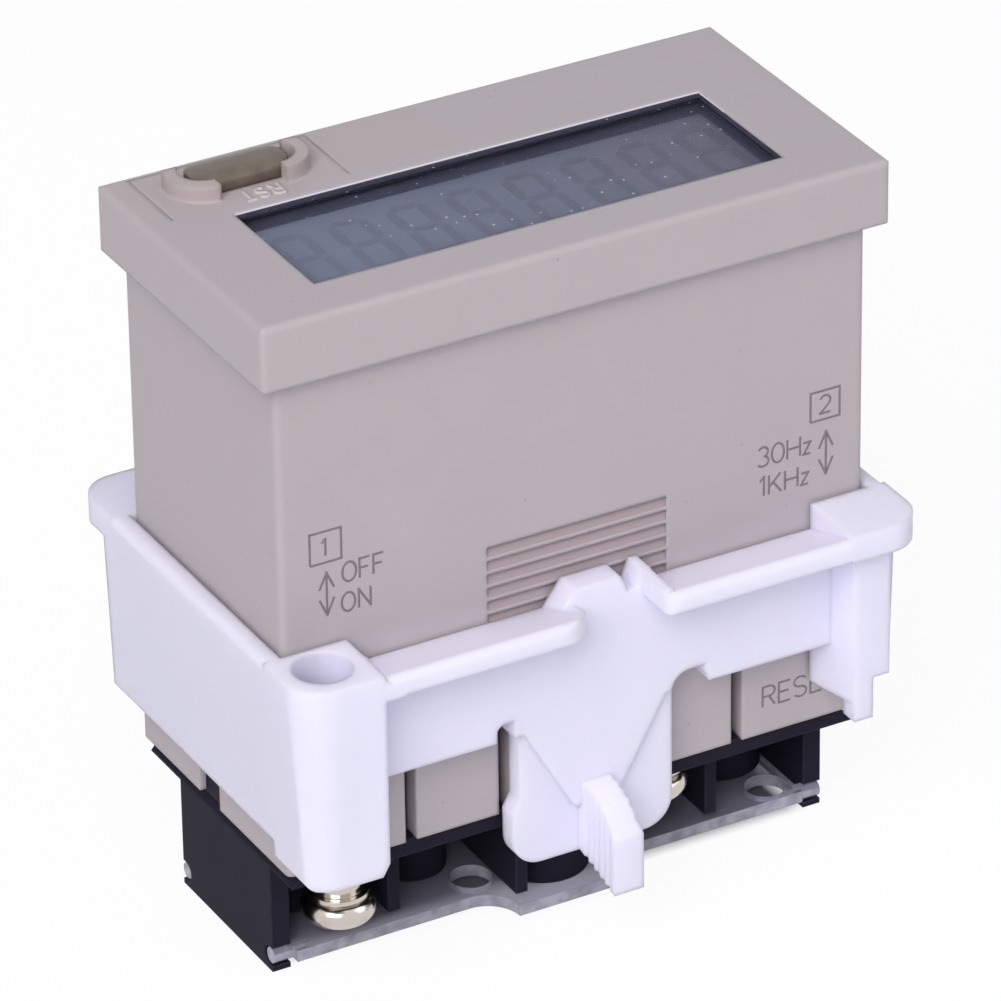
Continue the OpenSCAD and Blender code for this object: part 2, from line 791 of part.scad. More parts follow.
module terminal_cover() {
    pin_reach = end_wall_x - 0.1;
    pin_l = 2 * end_wall_t;
    color(clear_plastic) difference() {
        union() {
            translate([0, 0, cover_low]) linear_extrude(cover_t) cover_outline();
            both_sides() for (sy = [-1, 1]) translate([-pin_reach, sy * pin_y, pin_z]) rotate([0, 90, 0])
                cylinder(d = pin_d, h = pin_l);
        }
        both_sides() for (x = [-inner_knob_x, end_knob_x])
            translate([x, -knob_y, -1]) cylinder(d = access_d, h = cover_top + 2);
    }
}

// Mounting adapter
pad_l = 6;
pad_slope = 2;
wall_low = rim_top - long_wall_depth;
pillar_low = rim_top - pillar_depth;
leg_low = rim_top - end_wall_depth - 0.2;
lip_top = rim_top - 0.35;
// Rounding of the end walls' upper outer edges
end_edge_r = 0.6;
// Reach of the end walls past the bay at the corner legs, and their thickness there
leg_turn = 1.5;
leg_turn_t = 0.4;
// Distance of the long walls' ends from the adapter's ends
long_wall_end = 2.3;
// Edges of the latch along X: the head's slope, its notch and the rim's gap
head_left = -1.5;
head_right = 2.05;
gap_right = 3.8;

// A profile in X and Z carried from the origin towards the near side by a length
module towards_near(l) {
    rotate([90, 0, 0]) linear_extrude(l) children();
}

// Section of one long side: the wall and its rounded rim, with a floor sloping in to the body
module long_side_section() {
    rim_y = adapter_h / 2;
    r = 0.55;
    r_low = 0.4;
    polygon([[bay_h / 2, rim_low], [rim_y - r, lip_top], [rim_y, lip_top - r], [rim_y, rim_low + r_low],
             [rim_y - r_low, rim_low], [long_wall_y, rim_low], [long_wall_y, wall_low],
             [bay_h / 2, wall_low]]);
    translate([rim_y - r, lip_top - r]) circle(r);
    translate([rim_y - r_low, rim_low + r_low]) circle(r_low);
}

module rim_pads() {
    far = adapter_w / 2;
    edge_z = rim_top - end_edge_r;
    far_low = far - end_wall_draft * (edge_z - rim_low) / (end_wall_depth - end_edge_r);
    translate([0, -bay_h / 2, 0]) towards_near((adapter_h - bay_h) / 2) {
        polygon([[-far_low, rim_low], [-far, edge_z], [-far, rim_top], [-far + pad_l, rim_top],
                 [-far + pad_l + pad_slope, rim_low]]);
        polygon([[far_low, rim_low], [far, edge_z], [far, rim_top], [far - pad_l, rim_top],
                 [far - pad_l, rim_low]]);
    }
}

// Corner pillar: its outer face slopes with the end wall, its outer lower edge is rounded and its
// inner lower corner is bevelled
module pillar() {
    left = -adapter_w / 2;
    right = left + pillar_w;
    r = 0.6;
    foot = left + end_wall_draft * (pillar_depth - r - end_edge_r) / (end_wall_depth - end_edge_r);
    bevel_w = 0.55;
    bevel_h = 0.95;
    translate([0, -bay_h / 2, 0]) towards_near((adapter_h - bay_h) / 2) {
        polygon([[left, rim_top], [left, rim_top - end_edge_r], [foot, pillar_low + r],
                 [foot + r, pillar_low], [right - bevel_w, pillar_low], [right, pillar_low + bevel_h],
                 [right, rim_top]]);
        translate([foot + r, pillar_low + r]) circle(r);
    }
}

// Corner leg: a shorter outer part, a longer inner part and a narrow rib that reaches lower at its front
module corner_leg() {
    far = adapter_w / 2;
    front = adapter_h / 2 - 1.2;
    rib_w = 1.5;
    rib_x = far - pad_l + 1;
    outer_low = leg_low + 1.8;
    outer_in = 2.2;
    translate([0, 0, outer_low]) linear_extrude(rim_low - outer_low + eps)
        polygon([[far - pad_l, -bay_h / 2], [rib_x, -front], [far - outer_in, -front],
                 [bay_w / 2 + leg_turn_t, -bay_h / 2 - leg_turn], [bay_w / 2 + leg_turn_t, -bay_h / 2]]);
    translate([0, 0, leg_low]) linear_extrude(outer_low - leg_low + eps)
        polygon([[far - pad_l, -bay_h / 2], [rib_x, -front], [rib_x + rib_w, -front],
                 [rib_x + rib_w, -bay_h / 2]]);
    slab(rib_x, rib_x + rib_w, -front, -front + rib_w, rim_top - pillar_depth, leg_low + eps);
}

module latch_tongue() {
    tongue_low = rim_top - tongue_depth;
    root_z = rim_top - web_root;
    web_low = root_z - web_l;
    fin_low = rim_top - fin_depth;
    fin_front = long_wall_y + fin_out;
    fin_root = tongue_outer - 0.05;
    relief_w = 0.55;
    relief_l = 6.7;
    translate([0, -tongue_inner, 0]) towards_near(tongue_t) difference() {
        translate([0, root_z]) mirror([0, 1]) arched_rect(2 * tongue_half_w, root_z - tongue_low, 2.2);
        translate([-tongue_half_w, root_z])
            polygon([[-eps, -relief_l - 2 * relief_w], [relief_w, -relief_l], [relief_w, eps], [-eps, eps]]);
    }
    translate([0, -tongue_inner, 0]) towards_near(long_wall_y - tongue_inner)
        polygon([[-tongue_half_w, root_z], [tongue_half_w, root_z], [fin_half_t + 0.5, web_low],
                 [-fin_half_t - 0.5, web_low]]);
    difference() {
        mirror([0, 1, 0]) along_x(2 * fin_half_t)
            polygon([[fin_root, rim_top - fin_root_depth],
                     [fin_root + 2 * fin_nose, rim_top - fin_root_depth - 0.2],
                     [fin_root + 3.8 * fin_nose, rim_top - fin_bend_depth],
                     [fin_front - fin_nose, rim_top - fin_nose_depth + fin_nose],
                     [fin_front, rim_top - fin_nose_depth], [fin_front, fin_low],
                     [fin_root, tongue_low + 0.2]]);
        for (i = [0 : 4], sx = [-1, 1])
            translate([sx * (fin_half_t + fin_groove_r / 2), -fin_front + fin_nose + i * fin_groove_pitch,
                       fin_low - 1])
                cylinder(r = fin_groove_r, h = fin_depth, $fn = 24);
    }
    for (i = [0 : 2]) translate([0, -tongue_inner, tongue_low + 0.6 + i * ratchet_pitch])
        along_x(2 * tongue_half_w - 5)
            polygon([[-eps, 0], [tongue_inner - body_h / 2 - tooth_clear, 0.15],
                     [-eps, 0.8 * ratchet_pitch]]);
}

// Raised head of the latch between the two rims, with the notch at its right
module latch_head() {
    notch_z = rim_top - 1.3;
    translate([0, -bay_h / 2, 0]) towards_near(long_wall_y - bay_h / 2)
        polygon([[head_left - 1.5, rim_low], [head_left, rim_top], [head_right, rim_top],
                 [head_right + 0.55, notch_z], [gap_right - 0.6, notch_z], [gap_right, rim_top],
                 [gap_right + 0.6, rim_top], [gap_right + 1.6, rim_low]]);
    translate([0, -long_wall_y + eps, 0]) towards_near(adapter_h / 2 - long_wall_y - 0.6)
        polygon([[gap_right, rim_low], [gap_right, rim_top - 0.1], [gap_right + 0.6, rim_top - 0.1],
                 [gap_right + 1.6, rim_low]]);
}

// Gap in the overhanging rim in front of the latch, with rounded ends
module rim_gap() {
    r_left = 3;
    r_right = 0.9;
    rim_y = adapter_h / 2;
    translate([0, 0, rim_low - 1]) linear_extrude(rim_t + 2) difference() {
        translate([head_left - r_left, -rim_y - 1])
            square([gap_right + r_right - head_left + r_left, rim_y + 1 - long_wall_y]);
        translate([head_left - r_left, -rim_y + r_left]) square([r_left, rim_y]);
        translate([head_left - r_left, -rim_y + r_left]) circle(r_left);
        translate([gap_right, -rim_y + r_right]) square([r_right, rim_y]);
        translate([gap_right + r_right, -rim_y + r_right]) circle(r_right);
    }
}

// Notches in the wall's lower edge on both sides of the tongue
module tongue_notch(x, w, r) {
    top = wall_low + 1.4;
    translate([0, -body_h / 2, 0]) towards_near(adapter_h) {
        translate([x, wall_low - 1]) square([w, top - r - wall_low + 1]);
        translate([x + r, wall_low - 1]) square([w - r, top - wall_low + 1]);
        translate([x + r, top - r]) circle(r);
    }
}

// End wall with its rounded outer edge
module adapter_end_wall() {
    r = end_edge_r;
    t = (adapter_w - bay_w) / 2;
    l = bay_h + leg_turn + eps;
    translate([-adapter_w / 2, (leg_turn - eps) / 2, rim_top - end_wall_depth]) along_y(l) {
        polygon([[end_wall_draft, 0], [t, 0], [t, end_wall_depth], [r, end_wall_depth],
                 [0, end_wall_depth - r]]);
        translate([r, end_wall_depth - r]) circle(r);
    }
}

module adapter_side() {
    difference() {
        union() {
            mirror([0, 1, 0]) along_x(adapter_w - 2 * long_wall_end) long_side_section();
            rim_pads();
            latch_head();
        }
        rim_gap();
        tongue_notch(-tongue_half_w - 1.4, 1.4, 0.7);
        tongue_notch(tongue_half_w - 0.3, 2.7, 1.5);
    }
    pillar();
    corner_leg();
    latch_tongue();
    adapter_end_wall();
}

module mounting_adapter() {
    color(white_plastic) difference() {
        intersection() {
            both_sides() adapter_side();
            union() {
                translate([0, 0, -1]) linear_extrude(front_z)
                    rounded_rect(adapter_w, adapter_h, rim_corner_r);
                slab(-tongue_half_w, tongue_half_w, -adapter_h, adapter_h, 0, front_z);
            }
        }
        both_sides() translate([-hole_x, -hole_y, 0]) cylinder(d = pillar_hole_d, h = front_z);
    }
}

case();
front_window();
lcd_glass();
reflector();
lcd_frame();
zebra_strips();
display_board();
controller_chip();
crystal();
reset_switch();
reset_plunger();
reset_key();
lithium_cell();
cell_tabs();
board_link();
rear_board();
key_lock_switch();
speed_switch();
key_lock_knob();
speed_knob();
terminal_base();
terminal_plates();
terminal_screws();
clamp_washers();
terminal_pins();
terminal_cover();
mounting_adapter();
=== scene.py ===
"""Looks of a small panel counter: a grey moulded case, a display, a white adapter and a black terminal base.

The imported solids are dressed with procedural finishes. Printed legends, raised key letters and the
display's figures are added as thin pieces, and a crowned reset key stands for the plain one.
Lengths in the classes are millimetres in the part's frame.
"""
import logging
import math
from dataclasses import dataclass, field
from enum import Enum
from typing import ClassVar, Dict, List, Optional, Sequence, Tuple

import bmesh
import bpy
from mathutils import Matrix, Vector


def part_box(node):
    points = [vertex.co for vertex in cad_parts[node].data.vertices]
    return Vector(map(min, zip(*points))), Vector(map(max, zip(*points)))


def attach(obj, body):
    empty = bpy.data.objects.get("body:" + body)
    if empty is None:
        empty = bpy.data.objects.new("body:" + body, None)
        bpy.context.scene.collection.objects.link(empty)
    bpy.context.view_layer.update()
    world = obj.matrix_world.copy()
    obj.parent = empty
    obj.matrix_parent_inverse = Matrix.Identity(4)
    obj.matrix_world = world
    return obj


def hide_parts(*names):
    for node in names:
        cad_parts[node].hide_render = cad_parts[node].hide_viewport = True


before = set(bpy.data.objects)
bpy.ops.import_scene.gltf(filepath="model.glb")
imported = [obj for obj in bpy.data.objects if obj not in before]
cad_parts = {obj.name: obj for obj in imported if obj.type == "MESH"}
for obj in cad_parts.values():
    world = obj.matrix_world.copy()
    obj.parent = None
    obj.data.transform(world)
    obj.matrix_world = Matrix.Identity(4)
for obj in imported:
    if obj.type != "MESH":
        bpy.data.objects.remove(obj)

LOG = logging.getLogger("panel_counter")
MM = 0.001

Rgb = Tuple[float, float, float]
Place = Tuple[float, float, float]
Point = Tuple[float, float]
Stroke = List[Point]
Socket = bpy.types.NodeSocket
Material = bpy.types.Material


def linear(rgb: Sequence[float]) -> Tuple[float, float, float, float]:
    """Turn a display colour of 0 to 255 into a linear shader colour.

    Args:
        rgb: red, green and blue as a screen shows them.

    Returns:
        The linear colour with an alpha of 1.
    """
    parts = []
    for value in rgb:
        c = value / 255.0
        parts.append(c / 12.92 if c <= 0.04045 else ((c + 0.055) / 1.055) ** 2.4)
    return (parts[0], parts[1], parts[2], 1.0)


class Body(Enum):
    """The rigid bodies that added pieces ride on."""

    HOUSING = "housing"
    KEY = "key"


class Bake(Enum):
    """Names of three material slots."""

    CASE = "case_grey"
    DISPLAY = "display"
    KEY = "key_brown"


class NodeSheet:
    """A material's node tree with short ways to add and join nodes."""

    def __init__(self, name: str) -> None:
        """Start an empty material.

        Args:
            name: the material's name.
        """
        self.material = bpy.data.materials.new(name)
        self.material.use_nodes = True
        self.tree = self.material.node_tree
        self.tree.nodes.clear()
        self.output = self.tree.nodes.new("ShaderNodeOutputMaterial")

    def add(self, kind: str, inputs: Optional[Dict[str, object]] = None,
            **settings: object) -> bpy.types.Node:
        """Add one node.

        Args:
            kind: the node type without its ShaderNode prefix.
            inputs: values of its inputs by name.
            **settings: attributes of the node, such as operation.

        Returns:
            The new node.
        """
        node = self.tree.nodes.new("ShaderNode" + kind)
        for key, value in settings.items():
            setattr(node, key, value)
        for key, value in (inputs or {}).items():
            node.inputs[key].default_value = value
        return node

    def link(self, source: Socket, target: Socket) -> None:
        """Join an output to an input."""
        self.tree.links.new(source, target)

    def object_place(self) -> Socket:
        """Return the socket with the surface point in the part's frame."""
        return self.add("TexCoord").outputs["Object"]

    def noise(self, place: Socket, size_mm: float, detail: float = 2.0,
              rough: float = 0.5) -> Socket:
        """Add a noise field.

        Args:
            place: where it is read.
            size_mm: how wide its spots are.
            detail: number of finer layers.
            rough: strength of the finer layers.

        Returns:
            Its factor from 0 to 1.
        """
        node = self.add("TexNoise", {"Scale": 1.0 / (size_mm * MM), "Detail": detail, "Roughness": rough})
        self.link(place, node.inputs["Vector"])
        return node.outputs["Fac"]

    def spread(self, value: Socket, low: float, high: float, out_low: float = 0.0,
               out_high: float = 1.0) -> Socket:
        """Map a value from one range to another, clamped.

        Args:
            value: the socket to map.
            low: value that gives out_low.
            high: value that gives out_high.
            out_low: result at low.
            out_high: result at high.

        Returns:
            The mapped socket.
        """
        ends = {"From Min": low, "From Max": high, "To Min": out_low, "To Max": out_high}
        node = self.add("MapRange", ends)
        self.link(value, node.inputs["Value"])
        return node.outputs["Result"]

    def math(self, operation: str, first: Socket, second: object) -> Socket:
        """Combine two values.

        Args:
            operation: the Math node's operation.
            first: a socket.
            second: a socket or a number.

        Returns:
            The result.
        """
        node = self.add("Math", operation=operation)
        self.link(first, node.inputs[0])
        if isinstance(second, Socket):
            self.link(second, node.inputs[1])
        else:
            node.inputs[1].default_value = float(second)
        return node.outputs[0]

    def blend(self, share: Socket, first: object, second: object) -> Socket:
        """Mix two colours.

        Args:
            share: how much of the second colour shows.
            first: a colour or a colour socket.
            second: a colour or a colour socket.

        Returns:
            The mixed colour.
        """
        node = self.add("Mix", data_type="RGBA")
        self.link(share, node.inputs[0])
        for value, socket in ((first, node.inputs[6]), (second, node.inputs[7])):
            if isinstance(value, Socket):
                self.link(value, socket)
            else:
                socket.default_value = value
        return node.outputs[2]

    def bump(self, height: Socket, strength: float, deep_mm: float,
             under: object = None) -> Socket:
        """Turn a height into a normal.

        Args:
            height: the height field from 0 to 1.
            strength: share of the effect.
            deep_mm: height at 1.
            under: a normal that it starts from, or None.

        Returns:
            The normal.
        """
        node = self.add("Bump", {"Strength": strength, "Distance": deep_mm * MM})
        self.link(height, node.inputs["Height"])
        if under is not None:
            self.link(under, node.inputs["Normal"])
        return node.outputs["Normal"]

    def round_edges(self, radius_mm: float) -> Socket:
        """Return a normal that is rounded over sharp edges."""
        return self.add("Bevel", {"Radius": radius_mm * MM}, samples=6).outputs["Normal"]

    def edge_share(self, rounded: Socket) -> Socket:
        """Return a value that rises from 0 on flats to 1 on edges.

        Args:
            rounded: the normal from round_edges.

        Returns:
            The edge value.
        """
        node = self.add("VectorMath", operation="DOT_PRODUCT")
        self.link(rounded, node.inputs[0])
        self.link(self.add("NewGeometry").outputs["True Normal"], node.inputs[1])
        return self.spread(node.outputs["Value"], 0.995, 0.8)

    def finish(self, shader: bpy.types.Node) -> Material:
        """Send the last shader to the surface and return the material."""
        self.link(shader.outputs[0], self.output.inputs["Surface"])
        return self.material


@dataclass(frozen=True)
class BoxRegion:
    """A box of the part's frame, in millimetres, that a finish treats apart."""

    low: Place
    high: Place
    soft: float = 0.002

    def share(self, sheet: NodeSheet, place: Socket) -> Socket:
        """Return 1 inside the box and 0 outside, with a ramp of the soft width over its faces.

        Args:
            sheet: the material's sheet.
            place: the surface point.

        Returns:
            The inside value.
        """
        parts = sheet.add("SeparateXYZ")
        sheet.link(place, parts.inputs[0])
        inside: Optional[Socket] = None
        for axis in range(3):
            low, high, half = self.low[axis] * MM, self.high[axis] * MM, self.soft * MM / 2
            above = sheet.spread(parts.outputs[axis], low - half, low + half)
            below = sheet.spread(parts.outputs[axis], high + half, high - half)
            both = sheet.math("MULTIPLY", above, below)
            inside = both if inside is None else sheet.math("MULTIPLY", inside, both)
        return inside


@dataclass(frozen=True)
class MouldedPlastic:
    """Opaque moulded plastic: fine grain, faint flow marks, softened edges, and paler edges that are partly
    edge wear and partly a painted highlight.
    """

    name: str
    colour: Rgb
    roughness: float = 0.5
    grain: float = 0.2
    grain_mm: float = 0.15
    mottle: float = 0.1
    edge_mm: float = 0.2
    edge_wear_and_highlight: float = 0.05
    specks: float = 0.0
    shine: float = 0.5
    soft_mm: float = 0.0
    cloud_mm: float = 9.0
    areas: Tuple[Tuple[BoxRegion, Rgb], ...] = ()
    wear_and_highlight_mm: float = 1.6
    speck_mm: float = 2.6
    speck_dark: float = 0.35
    soft_share: float = 0.6
    gloss_range: float = 0.06
    grain_deep_mm: float = 0.02

    def build(self) -> Material:
        """Make the material.

        Returns:
            The finished material.
        """
        sheet = NodeSheet(self.name)
        place = sheet.object_place()
        base = linear(self.colour)
        dark = tuple(c * (1.0 - self.mottle) for c in base[:3]) + (1.0,)
        # The paler edge tone and its share below are partly edge wear and partly a painted highlight on the
        # rounded edges.
        pale = tuple(c + (0.9 - c) * self.edge_wear_and_highlight for c in base[:3]) + (1.0,)
        clouds = sheet.noise(place, self.cloud_mm, 4.0, 0.6)
        tone = sheet.blend(sheet.spread(clouds, 0.3, 0.7), dark, base)
        rounded = sheet.round_edges(self.edge_mm)
        wear_and_highlight_share = sheet.math("MULTIPLY", sheet.edge_share(rounded), sheet.noise(place, self.wear_and_highlight_mm, 3.0))
        tone = sheet.blend(wear_and_highlight_share, tone, pale)
        if self.specks > 0:
            cells = sheet.add("TexVoronoi", {"Scale": 1.0 / (self.speck_mm * MM)})
            sheet.link(place, cells.inputs["Vector"])
            dots = sheet.spread(cells.outputs["Distance"], 0.05, 0.025, 0.0, self.specks)
            tone = sheet.blend(dots, tone, tuple(c * self.speck_dark for c in base[:3]) + (1.0,))
        # Boxes painted in their own colours; on the case these hold painted shade and a painted highlight.
        for region, colour in self.areas:
            tone = sheet.blend(region.share(sheet, place), tone, linear(colour))
        surface: Dict[str, object] = {"Specular IOR Level": self.shine}
        if self.soft_mm > 0:
            surface.update({"Subsurface Weight": self.soft_share, "Subsurface Radius": (1.0, 1.0, 1.0),
                            "Subsurface Scale": self.soft_mm * MM})
        shader = sheet.add("BsdfPrincipled", surface)
        grain = sheet.noise(place, self.grain_mm, 2.0, 0.6)
        sheet.link(tone, shader.inputs["Base Color"])
        dull, glossy = self.roughness + self.gloss_range, self.roughness - self.gloss_range
        sheet.link(sheet.spread(clouds, 0.2, 0.8, glossy, dull), shader.inputs["Roughness"])
        sheet.link(sheet.bump(grain, self.grain, self.grain_deep_mm, rounded), shader.inputs["Normal"])
        return sheet.finish(shader)


@dataclass(frozen=True)
class ClearPlastic:
    """Clear or smoky moulded plastic that lets light through, with fine scratches and dust."""

    name: str
    tint: Rgb
    roughness: float = 0.05
    bend: float = 1.46
    clear: float = 1.0
    milky: Optional[Rgb] = None
    dust: float = 0.0
    dust_mm: float = 1.3
    streak_mm: float = 1.2
    milky_clear: float = 0.45
    hair_mm: float = 0.5
    hair_rough: float = 0.12
    edge_mm: float = 0.12

    def build(self) -> Material:
        """Make the material, milky on the upright edges where that colour is given.

        Returns:
            The finished material.
        """
        sheet = NodeSheet(self.name)
        place = sheet.object_place()
        shader = sheet.add("BsdfPrincipled", {"IOR": self.bend})
        if self.milky is None:
            cells = sheet.add("TexVoronoi", {"Scale": 1.0 / (self.dust_mm * MM)})
            sheet.link(place, cells.inputs["Vector"])
            specks = sheet.spread(cells.outputs["Distance"], 0.09, 0.04, 0.0, self.dust)
            shader.inputs["Base Color"].default_value = linear(self.tint)
            sheet.link(sheet.spread(specks, 0.0, 1.0, self.clear, 0.0), shader.inputs["Transmission Weight"])
        else:
            facing = sheet.add("SeparateXYZ")
            sheet.link(sheet.add("NewGeometry").outputs["True Normal"], facing.inputs[0])
            level = sheet.math("MULTIPLY", facing.outputs["Z"], facing.outputs["Z"])
            streaks = sheet.spread(sheet.noise(place, self.streak_mm, 3.0), 0.3, 0.6, 0.35, 1.0)
            milk = sheet.math("MULTIPLY", sheet.spread(level, 0.3, 0.1), streaks)
            sheet.link(sheet.blend(milk, linear(self.tint), linear(self.milky)), shader.inputs["Base Color"])
            sheet.link(sheet.spread(milk, 0.0, 1.0, self.clear, self.clear * self.milky_clear),
                       shader.inputs["Transmission Weight"])
        stretch = sheet.add("Mapping", {"Scale": (0.12, 1.0, 1.0), "Rotation": (0.0, 0.0, 0.4)})
        sheet.link(place, stretch.inputs["Vector"])
        hairs = sheet.noise(stretch.outputs["Vector"], self.hair_mm, 3.0, 0.7)
        rough = sheet.spread(hairs, 0.55, 0.8, self.roughness, self.roughness + self.hair_rough)
        sheet.link(rough, shader.inputs["Roughness"])
        sheet.link(sheet.bump(hairs, 0.05, 0.01, sheet.round_edges(self.edge_mm)), shader.inputs["Normal"])
        passing = sheet.add("BsdfTransparent", {"Color": linear(self.tint)})
        lamps = sheet.add("MixShader")
        sheet.link(sheet.add("LightPath").outputs["Is Shadow Ray"], lamps.inputs[0])
        sheet.link(shader.outputs[0], lamps.inputs[1])
        sheet.link(passing.outputs[0], lamps.inputs[2])
        return sheet.finish(lamps)


@dataclass(frozen=True)
class PlatedMetal:
    """Nickel or tin plate with a fine grain and a little tarnish."""

    name: str
    colour: Rgb
    roughness: float = 0.2
    tarnish_mm: float = 1.8
    tarnish_tone: Rgb = (0.8, 0.76, 0.72)
    tarnish_rough: float = 0.2
    grain_mm: float = 0.15
    edge_mm: float = 0.12

    def build(self) -> Material:
        """Make the material.

        Returns:
            The finished material.
        """
        sheet = NodeSheet(self.name)
        place = sheet.object_place()
        tarnish = sheet.noise(place, self.tarnish_mm, 4.0, 0.6)
        base = linear(self.colour)
        dull = tuple(c * share for c, share in zip(base, self.tarnish_tone)) + (1.0,)
        shader = sheet.add("BsdfPrincipled", {"Metallic": 1.0})
        sheet.link(sheet.blend(sheet.spread(tarnish, 0.5, 0.8), base, dull), shader.inputs["Base Color"])
        rough = sheet.spread(tarnish, 0.3, 0.8, self.roughness, self.roughness + self.tarnish_rough)
        sheet.link(rough, shader.inputs["Roughness"])
        fine = sheet.noise(place, self.grain_mm, 2.0)
        sheet.link(sheet.bump(fine, 0.08, 0.01, sheet.round_edges(self.edge_mm)), shader.inputs["Normal"])
        return sheet.finish(shader)


@dataclass(frozen=True)
class DisplayGlass:
    """Blue-grey reflective display glass, a little darker to one end, with a dark edge band that is painted
    shade under the window's lip.
    """

    name: str
    near: Rgb
    far: Rgb
    painted_shade_border: Rgb
    unshaded_area: BoxRegion
    half_length: float = 18.0
    cloud_mm: float = 5.0
    cloud_share: float = 0.3
    along_share: float = 0.7
    shine: float = 0.1

    def build(self) -> Material:
        """Make the material.

        Returns:
            The finished material.
        """
        sheet = NodeSheet(self.name)
        place = sheet.object_place()
        parts = sheet.add("SeparateXYZ")
        sheet.link(place, parts.inputs[0])
        along = sheet.spread(parts.outputs["X"], -self.half_length * MM, self.half_length * MM)
        cloud = sheet.noise(place, self.cloud_mm, 3.0)
        share = sheet.math("ADD", sheet.math("MULTIPLY", along, self.along_share),
                           sheet.math("MULTIPLY", cloud, self.cloud_share))
        shader = sheet.add("BsdfPrincipled", {"Specular IOR Level": self.shine})
        tone = sheet.blend(share, linear(self.near), linear(self.far))
        # Painted shade: outside the unshaded area the glass takes the dark colour, mostly along its far and
        # right edges, for the shade under the window's lip.
        tone = sheet.blend(self.unshaded_area.share(sheet, place), linear(self.painted_shade_border), tone)
        sheet.link(tone, shader.inputs["Base Color"])
        sheet.link(sheet.spread(cloud, 0.2, 0.8, 0.3, 0.42), shader.inputs["Roughness"])
        sheet.link(sheet.bump(cloud, 0.04, 0.01), shader.inputs["Normal"])
        return sheet.finish(shader)


@dataclass(frozen=True)
class CircuitBoard:
    """Green solder mask with copper runs showing through."""

    name: str
    mask: Rgb
    run: Rgb
    pitch_mm: float = 4.0
    run_width: float = 0.03
    coat: float = 0.3

    def build(self) -> Material:
        """Make the material.

        Returns:
            The finished material.
        """
        sheet = NodeSheet(self.name)
        place = sheet.object_place()
        bricks = sheet.add("TexBrick", {
            "Scale": 1.0 / (self.pitch_mm * MM), "Mortar Size": self.run_width, "Color1": linear(self.mask),
            "Color2": linear([c * 0.85 for c in self.mask]), "Mortar": linear(self.run)})
        sheet.link(place, bricks.inputs["Vector"])
        shader = sheet.add("BsdfPrincipled", {"Coat Weight": self.coat})
        sheet.link(bricks.outputs["Color"], shader.inputs["Base Color"])
        sheet.link(sheet.spread(sheet.noise(place, 2.0), 0.3, 0.7, 0.3, 0.45), shader.inputs["Roughness"])
        sheet.link(sheet.bump(bricks.outputs["Fac"], 0.3, 0.05), shader.inputs["Normal"])
        return sheet.finish(shader)


@dataclass(frozen=True)
class PrintInk:
    """Matt pad-printed ink, slightly thin in places."""

    name: str
    colour: Rgb
    ground: Rgb
    cover: float = 0.85
    spot_mm: float = 0.35
    thinning: float = 0.12
    shine: float = 0.4

    def build(self) -> Material:
        """Make the material.

        Returns:
            The finished material.
        """
        sheet = NodeSheet(self.name)
        place = sheet.object_place()
        thin = sheet.noise(place, self.spot_mm, 3.0, 0.6)
        shader = sheet.add("BsdfPrincipled", {"Specular IOR Level": self.shine})
        share = sheet.spread(thin, 0.3, 0.65, self.cover - self.thinning, self.cover)
        sheet.link(sheet.blend(share, linear(self.ground), linear(self.colour)), shader.inputs["Base Color"])
        sheet.link(sheet.spread(thin, 0.2, 0.8, 0.45, 0.6), shader.inputs["Roughness"])
        sheet.link(sheet.bump(thin, 0.1, 0.01), shader.inputs["Normal"])
        return sheet.finish(shader)


CASE_GREY: Rgb = (186, 177, 178)
GUARD_GREY: Rgb = (184, 171, 169)
# Painted shade: darker colour inside the ratchet grooves on the near and far faces.
GROOVE_PAINTED_SHADE: Rgb = (164, 150, 152)
# Painted highlight: a light line along the top of the window's far wall, where its edge catches the light.
EDGE_PAINTED_HIGHLIGHT: Rgb = (236, 232, 236)
# Painted shade: dark colour on the window well's walls and pocket, standing in for the shade inside the
# recess.
WELL_PAINTED_SHADE: Rgb = (60, 60, 74)
SLATE: Rgb = (56, 56, 68)

# Box of the painted shade inside the window well.
WINDOW_WELL_SHADE_BOX = BoxRegion((-19.2, -9.2, 51.5), (19.2, 4.7, 53.14))
# Box of the painted highlight on the window's far edge.
WINDOW_EDGE_HIGHLIGHT_BOX = BoxRegion((-18.3, 0.0, 53.14), (18.3, 4.7, 53.28))
KEY_GUARDS = BoxRegion((-24.0, 5.0, 53.34), (0.0, 12.0, 55.0), 0.2)
# Boxes of the painted shade inside the ratchet grooves.
NEAR_GROOVE_SHADE_BOX = BoxRegion((-7.02, -10.92, 18.0), (7.02, -10.0, 32.0))
FAR_GROOVE_SHADE_BOX = BoxRegion((-7.02, 10.0, 18.0), (7.02, 10.92, 32.0))
# Area of the display left unshaded; outside it the display glass carries painted shade.
DISPLAY_UNSHADED_AREA = BoxRegion((-17.9, -7.9, 0.0), (17.6, 2.6, 60.0))


